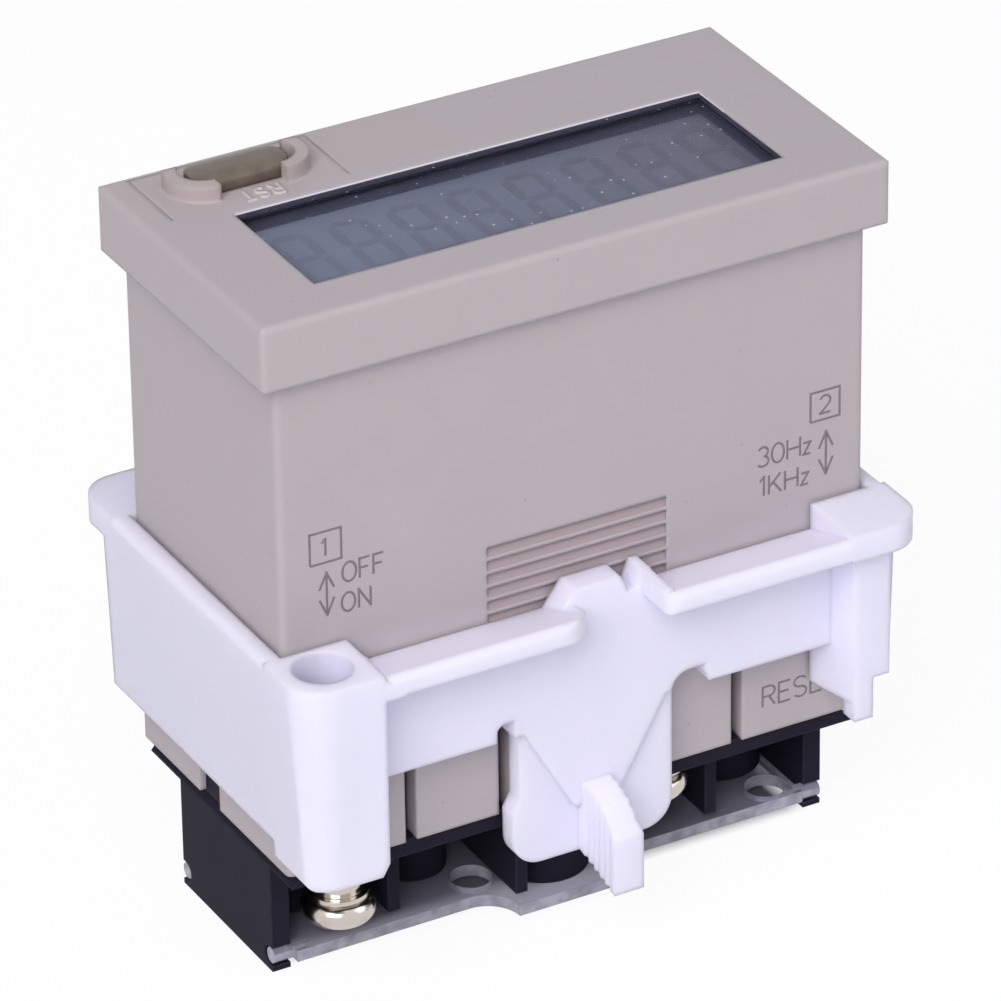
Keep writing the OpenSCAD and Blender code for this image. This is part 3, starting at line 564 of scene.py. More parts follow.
class Finish(Enum):
    """The finishes of the counter's pieces."""

    # Case: its strongly paler edges are mostly a painted highlight along the bezel edges; its areas add
    # painted shade in the window well and grooves and a painted highlight on the window's far edge.
    CASE = MouldedPlastic(
        "case_grey_plastic", CASE_GREY, grain=0.22, grain_mm=0.1, mottle=0.03, edge_mm=0.45, edge_wear_and_highlight=0.4,
        specks=0.35, shine=0.35,
        areas=((WINDOW_WELL_SHADE_BOX, WELL_PAINTED_SHADE), (WINDOW_EDGE_HIGHLIGHT_BOX, EDGE_PAINTED_HIGHLIGHT), (KEY_GUARDS, GUARD_GREY),
               (NEAR_GROOVE_SHADE_BOX, GROOVE_PAINTED_SHADE), (FAR_GROOVE_SHADE_BOX, GROOVE_PAINTED_SHADE)))
    ADAPTER = MouldedPlastic(
        "adapter_white_plastic", (236, 234, 255), roughness=0.55, grain=0.12, grain_mm=0.3, mottle=0.02,
        edge_mm=0.45, shine=0.1, soft_mm=2.0)
    BASE = MouldedPlastic("base_black_plastic", (38, 36, 49), grain=0.25, mottle=0.15, shine=0.04)
    KEY = MouldedPlastic(
        "key_brown_plastic", (114, 101, 89), roughness=0.4, grain=0.6, mottle=0.35, edge_wear_and_highlight=0.12,
        cloud_mm=1.4)
    FRAME = MouldedPlastic("frame_slate_plastic", SLATE, edge_mm=0.1)
    RUBBER = MouldedPlastic(
        "contact_rubber", (80, 80, 84), roughness=0.7, grain=0.3, grain_mm=0.1, edge_mm=0.1, edge_wear_and_highlight=0.0)
    SLEEVE = MouldedPlastic(
        "cell_sleeve", (66, 118, 178), roughness=0.3, grain=0.1, grain_mm=0.3, mottle=0.05)
    WINDOW = ClearPlastic("window_clear_plastic", (236, 238, 244), roughness=0.03, bend=1.05, dust=0.5)
    COVER = ClearPlastic(
        "cover_smoky_plastic", (178, 176, 190), roughness=0.14, bend=1.3, clear=0.66, milky=(196, 194, 206))
    GLASS = DisplayGlass("display_glass", (99, 104, 116), (82, 80, 89), SLATE, DISPLAY_UNSHADED_AREA)
    SEGMENT = DisplayGlass("display_segment", (91, 95, 106), (74, 73, 81), SLATE, DISPLAY_UNSHADED_AREA)
    NICKEL = PlatedMetal("nickel_plate", (204, 196, 188), roughness=0.1)
    FOIL = PlatedMetal("bright_foil", (220, 220, 222), roughness=0.25)
    BOARD = CircuitBoard("board_green", (34, 82, 52), (70, 120, 76))
    LETTER = MouldedPlastic(
        "raised_letter_plastic", (198, 190, 190), grain_mm=0.1, mottle=0.03, edge_mm=0.05, edge_wear_and_highlight=0.1,
        shine=0.35)
    INK = PrintInk("legend_ink", (116, 106, 108), CASE_GREY, cover=0.9)


class Palette:
    """All finishes of the counter, built once."""

    def __init__(self) -> None:
        """Build each finish."""
        self.materials: Dict[Finish, Material] = {finish: finish.value.build() for finish in Finish}

    def __getitem__(self, finish: Finish) -> Material:
        """Return the material of a finish."""
        return self.materials[finish]


def arc(cx: float, cy: float, rx: float, ry: float, start: float, end: float, steps: int = 10) -> Stroke:
    """Return points on an ellipse from one angle to another, in degrees."""
    angles = [math.radians(start + (end - start) * i / steps) for i in range(steps + 1)]
    return [(cx + rx * math.cos(a), cy + ry * math.sin(a)) for a in angles]


def stroke_glyphs() -> Dict[str, Tuple[float, List[Stroke]]]:
    """Return single-stroke letters as (width, strokes) for a height of 1."""
    zero = arc(0.32, 0.5, 0.32, 0.5, 90, 450, 24)
    return {
        "O": (0.8, [arc(0.4, 0.5, 0.4, 0.5, 90, 450, 24)]),
        "0": (0.64, [zero]),
        "F": (0.6, [[(0.6, 1), (0, 1), (0, 0)], [(0, 0.52), (0.5, 0.52)]]),
        "N": (0.7, [[(0, 0), (0, 1), (0.7, 0), (0.7, 1)]]),
        "H": (0.68, [[(0, 0), (0, 1)], [(0.68, 0), (0.68, 1)], [(0, 0.5), (0.68, 0.5)]]),
        "z": (0.38, [[(0, 0.6), (0.38, 0.6), (0, 0), (0.38, 0)]]),
        "K": (0.66, [[(0, 0), (0, 1)], [(0.62, 1), (0, 0.38)], [(0.22, 0.6), (0.66, 0)]]),
        "R": (0.62, [[(0, 0), (0, 1), (0.36, 1)] + arc(0.36, 0.75, 0.25, 0.25, 90, -90) + [(0, 0.5)],
                     [(0.32, 0.5), (0.62, 0)]]),
        "E": (0.58, [[(0.58, 1), (0, 1), (0, 0), (0.58, 0)], [(0, 0.52), (0.5, 0.52)]]),
        "S": (0.62, [arc(0.31, 0.75, 0.31, 0.25, 30, 270, 14) + arc(0.31, 0.25, 0.31, 0.25, 90, -150, 14)]),
        "T": (0.66, [[(0, 1), (0.66, 1)], [(0.33, 1), (0.33, 0)]]),
        "1": (0.3, [[(0, 0.78), (0.22, 1), (0.22, 0)]]),
        "2": (0.6, [arc(0.3, 0.7, 0.3, 0.3, 160, -35, 12) + [(0, 0), (0.6, 0)]]),
        "3": (0.56, [arc(0.27, 0.75, 0.26, 0.25, 150, -80, 12), arc(0.27, 0.26, 0.29, 0.26, 80, -150, 14)]),
    }


@dataclass(frozen=True)
class Plane:
    """A face that legends lie on: an origin, the reading direction and the up direction."""

    origin: Place
    reading: Place
    up: Place

    def matrix(self) -> Matrix:
        """Place the face.

        Returns:
            The matrix from millimetres on the face to metres in the part's frame.
        """
        x, y = Vector(self.reading), Vector(self.up)
        z = x.cross(y)
        turn = Matrix((x, y, z)).transposed().to_4x4()
        return Matrix.Translation(Vector(self.origin) * MM) @ turn @ Matrix.Scale(MM, 4)


class RibbonTree:
    """Geometry nodes that turn drawn lines into raised flat strokes."""

    def __init__(self) -> None:
        """Build the node tree with its named inputs."""
        tree = bpy.data.node_groups.new("legend_strokes", "GeometryNodeTree")
        face = tree.interface
        face.new_socket(name="Lines", in_out="INPUT", socket_type="NodeSocketGeometry")
        self.width = face.new_socket(name="Stroke width", in_out="INPUT", socket_type="NodeSocketFloat")
        self.height = face.new_socket(name="Stroke height", in_out="INPUT", socket_type="NodeSocketFloat")
        self.material = face.new_socket(name="Finish", in_out="INPUT", socket_type="NodeSocketMaterial")
        face.new_socket(name="Strokes", in_out="OUTPUT", socket_type="NodeSocketGeometry")
        nodes, links = tree.nodes, tree.links
        source = nodes.new("NodeGroupInput")
        curve = nodes.new("GeometryNodeMeshToCurve")
        upright = nodes.new("GeometryNodeSetCurveNormal")
        upright.mode = "Z_UP"
        profile = nodes.new("GeometryNodeCurvePrimitiveQuadrilateral")
        sweep = nodes.new("GeometryNodeCurveToMesh")
        sweep.inputs["Fill Caps"].default_value = True
        real = nodes.new("GeometryNodeRealizeInstances")
        paint = nodes.new("GeometryNodeSetMaterial")
        target = nodes.new("NodeGroupOutput")
        links.new(source.outputs["Lines"], curve.inputs["Mesh"])
        links.new(curve.outputs[0], upright.inputs[0])
        links.new(source.outputs["Stroke width"], profile.inputs["Width"])
        links.new(source.outputs["Stroke height"], profile.inputs["Height"])
        links.new(upright.outputs[0], sweep.inputs["Curve"])
        links.new(profile.outputs[0], sweep.inputs["Profile Curve"])
        links.new(sweep.outputs[0], real.inputs[0])
        links.new(real.outputs[0], paint.inputs["Geometry"])
        links.new(source.outputs["Finish"], paint.inputs["Material"])
        links.new(paint.outputs[0], target.inputs[0])
        self.tree = tree


def applied_mesh(obj: bpy.types.Object, name: str) -> bpy.types.Object:
    """Replace an object with modifiers by a plain mesh object at the origin.

    Args:
        obj: the object to evaluate.
        name: the new object's name.

    Returns:
        The plain object.
    """
    graph = bpy.context.evaluated_depsgraph_get()
    mesh = bpy.data.meshes.new_from_object(obj.evaluated_get(graph))
    mesh.name = name
    bpy.data.objects.remove(obj)
    plain = bpy.data.objects.new(name, mesh)
    bpy.context.scene.collection.objects.link(plain)
    return plain


@dataclass(frozen=True)
class Word:
    """A word on a face: its left end and base line, with its gap and stretch as shares of its size."""

    text: str
    x: float
    y: float
    height: float
    gap: float = 0.2
    stretch: float = 1.0


@dataclass(frozen=True)
class SelectorLegend:
    """A selector's legend: its boxed number, a word for each end and an arrow between the ends."""

    name: str
    box: Tuple[float, float, float, float]
    words: Tuple[Word, ...]
    arrow: Tuple[float, float, float]


@dataclass
class Lettering:
    """Strokes on a face, swept into thin raised lines."""

    ribbons: RibbonTree
    glyphs: Dict[str, Tuple[float, List[Stroke]]] = field(default_factory=stroke_glyphs)
    arrow_head: float = 1.25
    head_spread: float = 0.45
    sharp_turn: float = 0.6
    stagger: float = 0.001
    stagger_steps: int = 7

    def word(self, word: Word) -> List[Stroke]:
        """Lay out a word.

        Args:
            word: its letters and where they stand.

        Returns:
            The word's strokes on the face.
        """
        strokes: List[Stroke] = []
        x, wide = word.x, word.height * word.stretch
        for letter in word.text:
            width, lines = self.glyphs[letter]
            for line in lines:
                strokes.append([(x + px * wide, word.y + py * word.height) for px, py in line])
            x += width * wide + word.gap * word.height
        return strokes

    def box(self, x0: float, y0: float, x1: float, y1: float) -> List[Stroke]:
        """Return a closed frame."""
        return [[(x0, y0), (x1, y0), (x1, y1), (x0, y1), (x0, y0)]]

    def double_arrow(self, x: float, y0: float, y1: float) -> List[Stroke]:
        """Return an upright arrow with a head at both ends."""
        head, wing = self.arrow_head, self.arrow_head * self.head_spread
        return [[(x, y0), (x, y1)],
                [(x - wing, y1 - head), (x, y1), (x + wing, y1 - head)],
                [(x - wing, y0 + head), (x, y0), (x + wing, y0 + head)]]

    def split(self, strokes: List[Stroke], reach: float) -> List[Stroke]:
        """Cut strokes at sharp corners, so that each piece keeps its width.

        Args:
            strokes: the lines as drawn.
            reach: how far a cut end runs past its corner.

        Returns:
            Lines without sharp corners.
        """
        pieces: List[Stroke] = []
        for drawn in strokes:
            line = [p for i, p in enumerate(drawn) if i == 0 or math.dist(p, drawn[i - 1]) > 1e-4]
            piece: Stroke = [line[0]]
            for i in range(1, len(line)):
                piece.append(line[i])
                if i + 1 < len(line):
                    before = Vector(line[i]) - Vector(line[i - 1])
                    after = Vector(line[i + 1]) - Vector(line[i])
                    if before.angle(after) > self.sharp_turn:
                        piece[-1] = tuple(Vector(line[i]) + before.normalized() * reach)
                        pieces.append(piece)
                        piece = [tuple(Vector(line[i]) - after.normalized() * reach)]
            pieces.append(piece)
        return pieces

    def sweep(self, name: str, strokes: List[Stroke], plane: Plane, width: float, height: float,
              material: Material) -> bpy.types.Object:
        """Sweep strokes into one mesh on a face.

        Args:
            name: the piece's name.
            strokes: lines on the face in millimetres.
            plane: the face.
            width: width of a line.
            height: how far it stands above and below the face.
            material: its finish.

        Returns:
            The piece.
        """
        points: List[Place] = []
        edges: List[Tuple[int, int]] = []
        for place, line in enumerate(self.split(strokes, width / 2)):
            first = len(points)
            lift = self.stagger * (place % self.stagger_steps)
            points += [(px, py, lift) for px, py in line]
            edges += [(first + i, first + i + 1) for i in range(len(line) - 1)]
        mesh = bpy.data.meshes.new(name + "_lines")
        mesh.from_pydata(points, edges, [])
        obj = bpy.data.objects.new(name + "_lines", mesh)
        bpy.context.scene.collection.objects.link(obj)
        mod = obj.modifiers.new("strokes", "NODES")
        mod.node_group = self.ribbons.tree
        mod[self.ribbons.width.identifier] = width
        mod[self.ribbons.height.identifier] = height
        mod[self.ribbons.material.identifier] = material
        plain = applied_mesh(obj, name)
        plain.data.transform(plane.matrix())
        plain.data.materials.clear()
        plain.data.materials.append(material)
        return plain


@dataclass
class SubAssembly:
    """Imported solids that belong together, and the pieces that are added to them."""

    palette: Palette
    solids: ClassVar[Dict[str, Finish]] = {}

    def dress(self) -> None:
        """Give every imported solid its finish."""
        for node, finish in self.solids.items():
            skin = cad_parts[node].data.materials
            skin.clear()
            skin.append(self.palette[finish])
            LOG.info("dressed %s with %s", node, finish.name.lower())

    def build(self) -> None:
        """Add the pieces that the solids lack, where a sub-assembly has any."""


@dataclass
class Electronics(SubAssembly):
    """The two boards with what they carry, and the cell."""

    solids = {
        "display_board": Finish.BOARD, "controller_chip": Finish.BASE, "crystal": Finish.FOIL,
        "lithium_cell": Finish.SLEEVE, "cell_tabs": Finish.NICKEL, "board_link": Finish.NICKEL,
        "rear_board": Finish.BOARD}


@dataclass
class Selectors(SubAssembly):
    """The key-lock and speed selectors."""

    solids = {
        "key_lock_switch": Finish.FRAME, "speed_switch": Finish.FRAME, "key_lock_knob": Finish.ADAPTER,
        "speed_knob": Finish.ADAPTER}


@dataclass
class Terminals(SubAssembly):
    """The terminal base with its metal and its cover."""

    solids = {
        "terminal_base": Finish.BASE, "terminal_plates": Finish.NICKEL, "terminal_screws": Finish.NICKEL,
        "clamp_washers": Finish.NICKEL, "terminal_pins": Finish.NICKEL, "terminal_cover": Finish.COVER}


@dataclass
class MountingAdapter(SubAssembly):
    """The adapter that slides along the case."""

    solids = {"mounting_adapter": Finish.ADAPTER}


@dataclass
class Housing(SubAssembly):
    """The case and its window, with printed legends and raised letters beside the key."""

    lettering: Lettering
    near_face: Plane = Plane((0.0, -10.95, 0.0), (1.0, 0.0, 0.0), (0.0, 0.0, 1.0))
    front: Plane = Plane((0.0, 0.0, 53.3), (-1.0, 0.0, 0.0), (0.0, -1.0, 0.0))
    ink_width: float = 0.17
    ink_height: float = 0.016
    raised_width: float = 0.24
    raised_height: float = 0.3
    selectors: Tuple[SelectorLegend, ...] = (
        SelectorLegend("lock_legend", (-20.4, 33.98, -18.03, 36.37),
                       (Word("1", -19.5, 34.5, 1.27), Word("OFF", -18.0, 32.05, 1.48, 0.18, 0.88),
                        Word("ON", -18.1, 29.77, 1.44, 0.2, 0.88)), (-19.2, 29.92, 33.18)),
        SelectorLegend("speed_legend", (18.43, 34.0, 20.75, 36.25),
                       (Word("2", 19.2, 34.5, 1.35), Word("30Hz", 14.25, 31.65, 1.5, 0.18),
                        Word("1KHz", 14.4, 29.3, 1.5, 0.19)), (19.68, 29.67, 33.0)))
    reset_word: Word = Word("RESET", 14.7, 12.35, 1.6)
    key_word: Word = Word("RST", 13.5, -5.85, 1.3, 0.28, 0.88)
    solids = {"case": Finish.CASE, "front_window": Finish.WINDOW}

    def build(self) -> None:
        """Make the printed and raised legends and set them on the housing."""
        pen = self.lettering
        for legend in self.selectors:
            strokes = pen.box(*legend.box)
            for word in legend.words:
                strokes += pen.word(word)
            self.print_on(legend.name, strokes + pen.double_arrow(*legend.arrow))
        self.print_on("reset_legend", pen.word(self.reset_word))
        piece = pen.sweep("raised_key_letters", pen.word(self.key_word), self.front, self.raised_width,
                          self.raised_height, self.palette[Finish.LETTER])
        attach(piece, Body.HOUSING.value)
        LOG.info("made raised_key_letters")

    def print_on(self, name: str, strokes: List[Stroke]) -> None:
        """Print strokes on the near face.

        Args:
            name: the piece's name.
            strokes: its lines.
        """
        piece = self.lettering.sweep(name, strokes, self.near_face, self.ink_width, self.ink_height,
                                     self.palette[Finish.INK])
        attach(piece, Body.HOUSING.value)
        LOG.info("made %s", name)


@dataclass
class Display(SubAssembly):
    """The display stack, with a row of seven-segment figures that all faintly show."""

    count: int = 8
    pitch: float = 4.45
    width: float = 3.1
    height: float = 7.4
    bar: float = 0.75
    gap: float = 0.09
    thick: float = 0.006
    above: float = 0.002
    middle_y: float = -2.6
    solids = {
        "lcd_glass": Finish.GLASS, "reflector": Finish.FOIL, "lcd_frame": Finish.FRAME,
        "zebra_strips": Finish.RUBBER}

    def bar_ring(self, cx: float, cy: float, half: float, across: bool) -> List[Place]:
        """Return the corners of one six-sided bar.

        Args:
            cx: its middle along the row.
            cy: its middle across the row.
            half: half its length.
            across: True if it lies along the row.

        Returns:
            Its six corners in metres.
        """
        tip, side = half - self.gap, self.bar / 2
        ring = [(-tip, 0.0), (-tip + side, -side), (tip - side, -side), (tip, 0.0), (tip - side, side),
                (-tip + side, side)]
        places = [(cx + px, cy + py) if across else (cx - py, cy + px) for px, py in ring]
        return [(x * MM, y * MM, 0.0) for x, y in places]

    def figure(self) -> bpy.types.Mesh:
        """Make one figure.

        Returns:
            Its mesh, flat, round its middle.
        """
        side, rise = (self.width - self.bar) / 2, (self.height - self.bar) / 2
        rings = [self.bar_ring(0.0, y, side, True) for y in (rise, 0.0, -rise)]
        rings += [self.bar_ring(x, y, rise / 2, False) for y in (rise / 2, -rise / 2) for x in (-side, side)]
        points = [place for ring in rings for place in ring]
        corners = len(rings[0])
        faces = [list(range(i * corners, (i + 1) * corners)) for i in range(len(rings))]
        mesh = bpy.data.meshes.new("figure")
        mesh.from_pydata(points, [], faces)
        return mesh

    def tree(self) -> Tuple[bpy.types.NodeTree, Dict[str, str]]:
        """Build the geometry nodes that repeat a figure along the display.

        Returns:
            The tree and the identifiers of its inputs by name.
        """
        tree = bpy.data.node_groups.new("figure_row", "GeometryNodeTree")
        face = tree.interface
        sockets = {}
        for name, kind in (("Figure", "NodeSocketGeometry"), ("Count", "NodeSocketInt"),
                           ("Start", "NodeSocketVector"), ("Step", "NodeSocketVector"),
                           ("Thickness", "NodeSocketFloat"), ("Finish", "NodeSocketMaterial")):
            sockets[name] = face.new_socket(name=name, in_out="INPUT", socket_type=kind).identifier
        face.new_socket(name="Row", in_out="OUTPUT", socket_type="NodeSocketGeometry")
        nodes, links = tree.nodes, tree.links
        source = nodes.new("NodeGroupInput")
        line = nodes.new("GeometryNodeMeshLine")
        raise_bars = nodes.new("GeometryNodeExtrudeMesh")
        raise_bars.inputs["Individual"].default_value = False
        repeat = nodes.new("GeometryNodeInstanceOnPoints")
        real = nodes.new("GeometryNodeRealizeInstances")
        paint = nodes.new("GeometryNodeSetMaterial")
        target = nodes.new("NodeGroupOutput")
        links.new(source.outputs["Figure"], raise_bars.inputs["Mesh"])
        links.new(source.outputs["Thickness"], raise_bars.inputs["Offset Scale"])
        links.new(source.outputs["Count"], line.inputs["Count"])
        links.new(source.outputs["Start"], line.inputs["Start Location"])
        links.new(source.outputs["Step"], line.inputs["Offset"])
        links.new(line.outputs["Mesh"], repeat.inputs["Points"])
        links.new(raise_bars.outputs["Mesh"], repeat.inputs["Instance"])
        links.new(repeat.outputs["Instances"], real.inputs[0])
        links.new(real.outputs[0], paint.inputs["Geometry"])
        links.new(source.outputs["Finish"], paint.inputs["Material"])
        links.new(paint.outputs[0], target.inputs[0])
        return tree, sockets

    def build(self) -> None:
        """Make the row of figures and set it on the display glass."""
        obj = bpy.data.objects.new("figure", self.figure())
        bpy.context.scene.collection.objects.link(obj)
        tree, sockets = self.tree()
        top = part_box("lcd_glass")[1].z
        first = -self.pitch * (self.count - 1) / 2
        mod = obj.modifiers.new("row", "NODES")
        mod.node_group = tree
        mod[sockets["Count"]] = self.count
        mod[sockets["Start"]] = (first * MM, self.middle_y * MM, top + self.above * MM)
        mod[sockets["Step"]] = (self.pitch * MM, 0.0, 0.0)
        mod[sockets["Thickness"]] = self.thick * MM
        mod[sockets["Finish"]] = self.palette[Finish.SEGMENT]
        piece = applied_mesh(obj, "display_figures")
        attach(piece, Body.HOUSING.value)
        LOG.info("made display_figures")


@dataclass
class ResetKey(SubAssembly):
    """The reset key with its switch: a plug with a crowned top that stands on a hidden flange."""

    half_length: float = 3.65
    half_width: float = 1.6
    corner: float = 1.25
    crown: float = 0.42
    crown_power: float = 3.2
    end_fall: float = 0.1
    end_power: float = 6.0
    lift: float = 0.14
    flange: float = 0.6
    flange_short: float = 0.7
    step: float = 0.5
    merge: float = 0.0001
    rings: Tuple[Tuple[float, float], ...] = (
        (1.0, 0.3), (1.0, 0.14), (0.985, 0.06), (0.955, 0.015), (0.9, 0.0), (0.8, 0.0), (0.65, 0.0),
        (0.5, 0.0), (0.35, 0.0), (0.2, 0.0))
    solids = {
        "reset_switch": Finish.BASE, "reset_plunger": Finish.ADAPTER, "reset_key": Finish.KEY}

    def outline(self) -> List[Point]:
        """Lay out the plug's outline, with even steps on its long sides.

        Returns:
            Its points in millimetres, round its middle.
        """
        run, reach, r = self.half_length - self.corner, self.half_width - self.corner, self.corner
        corners: List[Point] = []
        for start, sx, sy in ((0, 1, 1), (90, -1, 1), (180, -1, -1), (270, 1, -1)):
            corners += arc(sx * run, sy * reach, r, r, start, start + 90)
        points: List[Point] = []
        for i, here in enumerate(corners):
            ahead = corners[(i + 1) % len(corners)]
            parts = max(1, round(math.dist(here, ahead) / self.step))
            dx, dy = ahead[0] - here[0], ahead[1] - here[1]
            points += [(here[0] + dx * k / parts, here[1] + dy * k / parts) for k in range(parts)]
        return points

    def fall(self, u: float, v: float) -> float:
        """Return how far the top lies below its crest at a place round its middle."""
        across = self.crown * abs(v / self.half_width) ** self.crown_power
        return across + self.end_fall * abs(u / self.half_length) ** self.end_power

    def plug(self, cx: float, cy: float, bottom: float, top: float) -> Tuple[List[Place], List[List[int]]]:
        """Return the plug's points and faces, its bottom face first.

        Args:
            cx: its middle in X.
            cy: its middle in Y.
            bottom: height of its lower end.
            top: height of its crest.

        Returns:
            Points in millimetres, and faces as places in that list.
        """
        outline = self.outline()
        count = len(outline)
        points: List[Place] = [(cx + u, cy + v, bottom) for u, v in outline]
        for scale, under in self.rings:
            points += [(cx + u * scale, cy + v * scale, top - under - self.fall(u * scale, v * scale))
                       for u, v in outline]
        faces: List[List[int]] = [list(range(count))]
        for first in range(0, len(self.rings) * count, count):
            for i in range(count):
                j = (i + 1) % count
                faces.append([first + i, first + j, first + count + j, first + count + i])
        last, crest = len(self.rings) * count, len(points)
        points.append((cx, cy, top))
        faces += [[last + i, last + (i + 1) % count, crest] for i in range(count)]
        return points, faces

    def build(self) -> None:
        """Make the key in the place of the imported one."""
        low, high = (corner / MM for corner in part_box("reset_key"))
        points, faces = self.plug((low.x + high.x) / 2, high.y - self.half_width, low.z + self.flange / 2,
                                  high.z + self.lift)
        smooth, base = len(faces), len(points)
        back, flange_top = high.y - self.flange_short, low.z + self.flange
        points += [(x, y, z) for z in (low.z, flange_top) for y in (low.y, back) for x in (low.x, high.x)]
        sides = ((0, 1, 3, 2), (4, 5, 7, 6), (0, 1, 5, 4), (2, 3, 7, 6), (0, 2, 6, 4), (1, 3, 7, 5))
        faces += [[base + k for k in side] for side in sides]
        mesh = bpy.data.meshes.new("crowned_reset_key")
        mesh.from_pydata([Vector(point) * MM for point in points], [], faces)
        mesh.polygons.foreach_set("use_smooth", [0 < i < smooth for i in range(len(faces))])
        work = bmesh.new()
        work.from_mesh(mesh)
        bmesh.ops.remove_doubles(work, verts=work.verts, dist=self.merge * MM)
        bmesh.ops.recalc_face_normals(work, faces=work.faces)
        work.to_mesh(mesh)
        work.free()
        mesh.materials.append(self.palette[Finish.KEY])
        piece = bpy.data.objects.new("crowned_reset_key", mesh)
        bpy.context.scene.collection.objects.link(piece)
        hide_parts("reset_key")
        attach(piece, Body.KEY.value)
        LOG.info("made crowned_reset_key")


@dataclass(frozen=True)
class Softbox:
    """A square soft lamp aimed at the counter."""

    name: str
    place: Place
    size: float
    watts: float
    colour: Rgb = (1.0, 0.98, 1.005)
    aim: Place = (0.0, 0.0, 25.0)

    def hang(self) -> None:
        """Hang the lamp."""
        lamp = bpy.data.lights.new(self.name, "AREA")
        lamp.shape = "SQUARE"
        lamp.size = self.size * MM
        lamp.energy = self.watts
        lamp.color = self.colour
        obj = bpy.data.objects.new(self.name, lamp)
        obj.location = Vector(self.place) * MM
        way = Vector(self.aim) * MM - obj.location
        obj.rotation_euler = way.to_track_quat("-Z", "Y").to_euler()
        bpy.context.scene.collection.objects.link(obj)


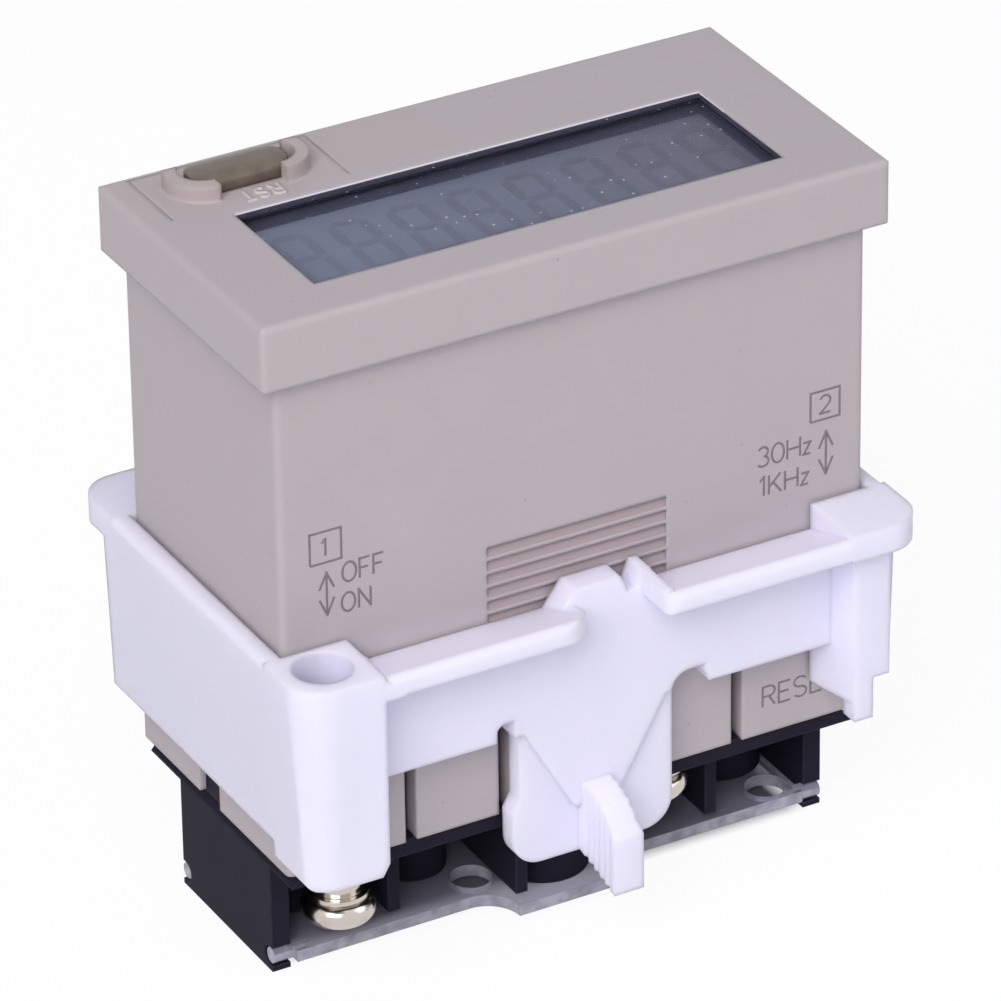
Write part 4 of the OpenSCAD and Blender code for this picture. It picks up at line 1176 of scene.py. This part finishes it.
@dataclass
class Studio:
    """A plain white studio: floor, soft lights and the camera."""

    camera_place: Place = (-227.967, -416.952, 298.029)
    right: Place = (0.8736705, -0.4863439, -0.0130135)
    down: Place = (-0.2503314, -0.4264389, -0.8691859)
    forward: Place = (0.4171738, 0.7626398, -0.4943142)
    focal_px: float = 7917.47
    image_px: float = 1001.0
    sensor: float = 36.0
    clip: Point = (0.01, 20.0)
    sky: float = 0.24
    sky_colour: Rgb = (0.95, 1.0, 1.12)
    floor_half: float = 1500.0
    floor_under: float = 0.02
    floor_glow: float = 1.03
    floor_share: float = 0.9
    floor_pale: Rgb = (0.85, 0.85, 0.85)
    floor_painted_shadow: Rgb = (0.2, 0.2, 0.22)
    # Extent of the painted shadow under the terminal base.
    dark_ends: float = 1.8
    dark_short: float = 5.1
    dark_long: float = 4.4
    dark_left_end: float = 0.0
    dark_right_end: float = -2.0
    dark_deep: float = 9.0
    dark_soft: float = 2.0
    softboxes: Tuple[Softbox, ...] = (
        Softbox("key_softbox", (-510, -550, 560), 560, 5.5),
        Softbox("top_softbox", (-260, -260, 700), 620, 1.35),
        Softbox("fill_softbox", (560, -420, 460), 560, 1.0))

    def build(self) -> None:
        """Set up the world, the floor, the lights and the camera."""
        self.world()
        self.floor()
        for softbox in self.softboxes:
            softbox.hang()
        self.camera()
        bpy.context.scene.view_settings.view_transform = "Standard"

    def seen_white(self, tree: bpy.types.NodeTree) -> Socket:
        """Return 1 for rays from the camera, mirrors and glass.

        Args:
            tree: the node tree it is added to.

        Returns:
            The socket.
        """
        path = tree.nodes.new("ShaderNodeLightPath")
        total = path.outputs["Is Camera Ray"]
        for name in ("Is Glossy Ray", "Is Transmission Ray"):
            node = tree.nodes.new("ShaderNodeMath")
            node.operation = "MAXIMUM"
            tree.links.new(total, node.inputs[0])
            tree.links.new(path.outputs[name], node.inputs[1])
            total = node.outputs[0]
        return total

    def world(self) -> None:
        """Make a white background with an even soft light."""
        world = bpy.data.worlds.new("white_studio")
        world.use_nodes = True
        tree = world.node_tree
        tree.nodes.clear()
        out = tree.nodes.new("ShaderNodeOutputWorld")
        light = tree.nodes.new("ShaderNodeBackground")
        light.inputs["Strength"].default_value = self.sky
        light.inputs["Color"].default_value = (*self.sky_colour, 1.0)
        white = tree.nodes.new("ShaderNodeBackground")
        white.inputs["Strength"].default_value = 1.0
        white.inputs["Color"].default_value = (1.0, 1.0, 1.0, 1.0)
        mix = tree.nodes.new("ShaderNodeMixShader")
        tree.links.new(self.seen_white(tree), mix.inputs[0])
        tree.links.new(light.outputs[0], mix.inputs[1])
        tree.links.new(white.outputs[0], mix.inputs[2])
        tree.links.new(mix.outputs[0], out.inputs["Surface"])
        bpy.context.scene.world = world

    def shade(self, sheet: NodeSheet) -> Socket:
        """Return the share of the painted shadow: 1 on the floor under the terminal base and 0 elsewhere,
        with soft edges.

        Args:
            sheet: the floor's sheet.

        Returns:
            The socket.
        """
        low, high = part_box("terminal_base")
        place, deep = sheet.object_place(), self.dark_deep
        left = BoxRegion((low.x / MM + self.dark_ends, low.y / MM + self.dark_short, -deep),
                         (self.dark_left_end, high.y / MM - self.dark_long, deep), self.dark_soft)
        right = BoxRegion((self.dark_right_end, low.y / MM + self.dark_long, -deep),
                          (high.x / MM - self.dark_ends, high.y / MM - self.dark_short, deep), self.dark_soft)
        return sheet.math("MAXIMUM", left.share(sheet, place), right.share(sheet, place))

    def floor(self) -> None:
        """Make the pale floor that keeps a faint shadow, with a painted shadow under the terminal base."""
        half = self.floor_half * MM
        ways = ((-half, -half), (half, -half), (half, half), (-half, half))
        corners = [(x, y, -self.floor_under * MM) for x, y in ways]
        mesh = bpy.data.meshes.new("floor")
        mesh.from_pydata(corners, [], [[0, 1, 2, 3]])
        obj = bpy.data.objects.new("floor", mesh)
        bpy.context.scene.collection.objects.link(obj)
        sheet = NodeSheet("pale_floor")
        matt = sheet.add("BsdfDiffuse")
        white = sheet.add("Emission", {"Strength": self.floor_glow})
        painted_shadow_share = self.shade(sheet)
        # Painted shadow: the floor under the terminal base takes a dark colour, as the shade under the part.
        tone = sheet.blend(painted_shadow_share, (*self.floor_pale, 1.0), (*self.floor_painted_shadow, 1.0))
        sheet.link(tone, matt.inputs["Color"])
        open_floor = sheet.spread(painted_shadow_share, 0.0, 1.0, self.floor_share, 0.0)
        share = sheet.math("MULTIPLY", self.seen_white(sheet.tree), open_floor)
        mix = sheet.add("MixShader")
        sheet.link(share, mix.inputs[0])
        sheet.link(matt.outputs[0], mix.inputs[1])
        sheet.link(white.outputs[0], mix.inputs[2])
        obj.data.materials.append(sheet.finish(mix))

    def camera(self) -> None:
        """Set the camera at the photograph's place."""
        data = bpy.data.cameras.new("camera")
        data.sensor_fit = "HORIZONTAL"
        data.sensor_width = self.sensor
        data.lens = self.sensor * self.focal_px / self.image_px
        data.clip_start, data.clip_end = self.clip
        obj = bpy.data.objects.new("camera", data)
        x, y, z = Vector(self.right), -Vector(self.down), -Vector(self.forward)
        turn = Matrix((x, y, z)).transposed().to_4x4()
        obj.matrix_world = Matrix.Translation(Vector(self.camera_place) * MM) @ turn
        bpy.context.scene.collection.objects.link(obj)
        bpy.context.scene.camera = obj


def main() -> None:
    """Dress the counter and set up its studio."""
    logging.basicConfig(level=logging.INFO, format="%(name)s: %(message)s")
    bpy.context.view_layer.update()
    palette = Palette()
    assemblies: Tuple[SubAssembly, ...] = (
        Housing(palette, Lettering(RibbonTree())), Display(palette), ResetKey(palette), Electronics(palette),
        Selectors(palette), Terminals(palette), MountingAdapter(palette))
    for assembly in assemblies:
        assembly.dress()
        assembly.build()
    Studio().build()


if __name__ == "__main__":
    main()
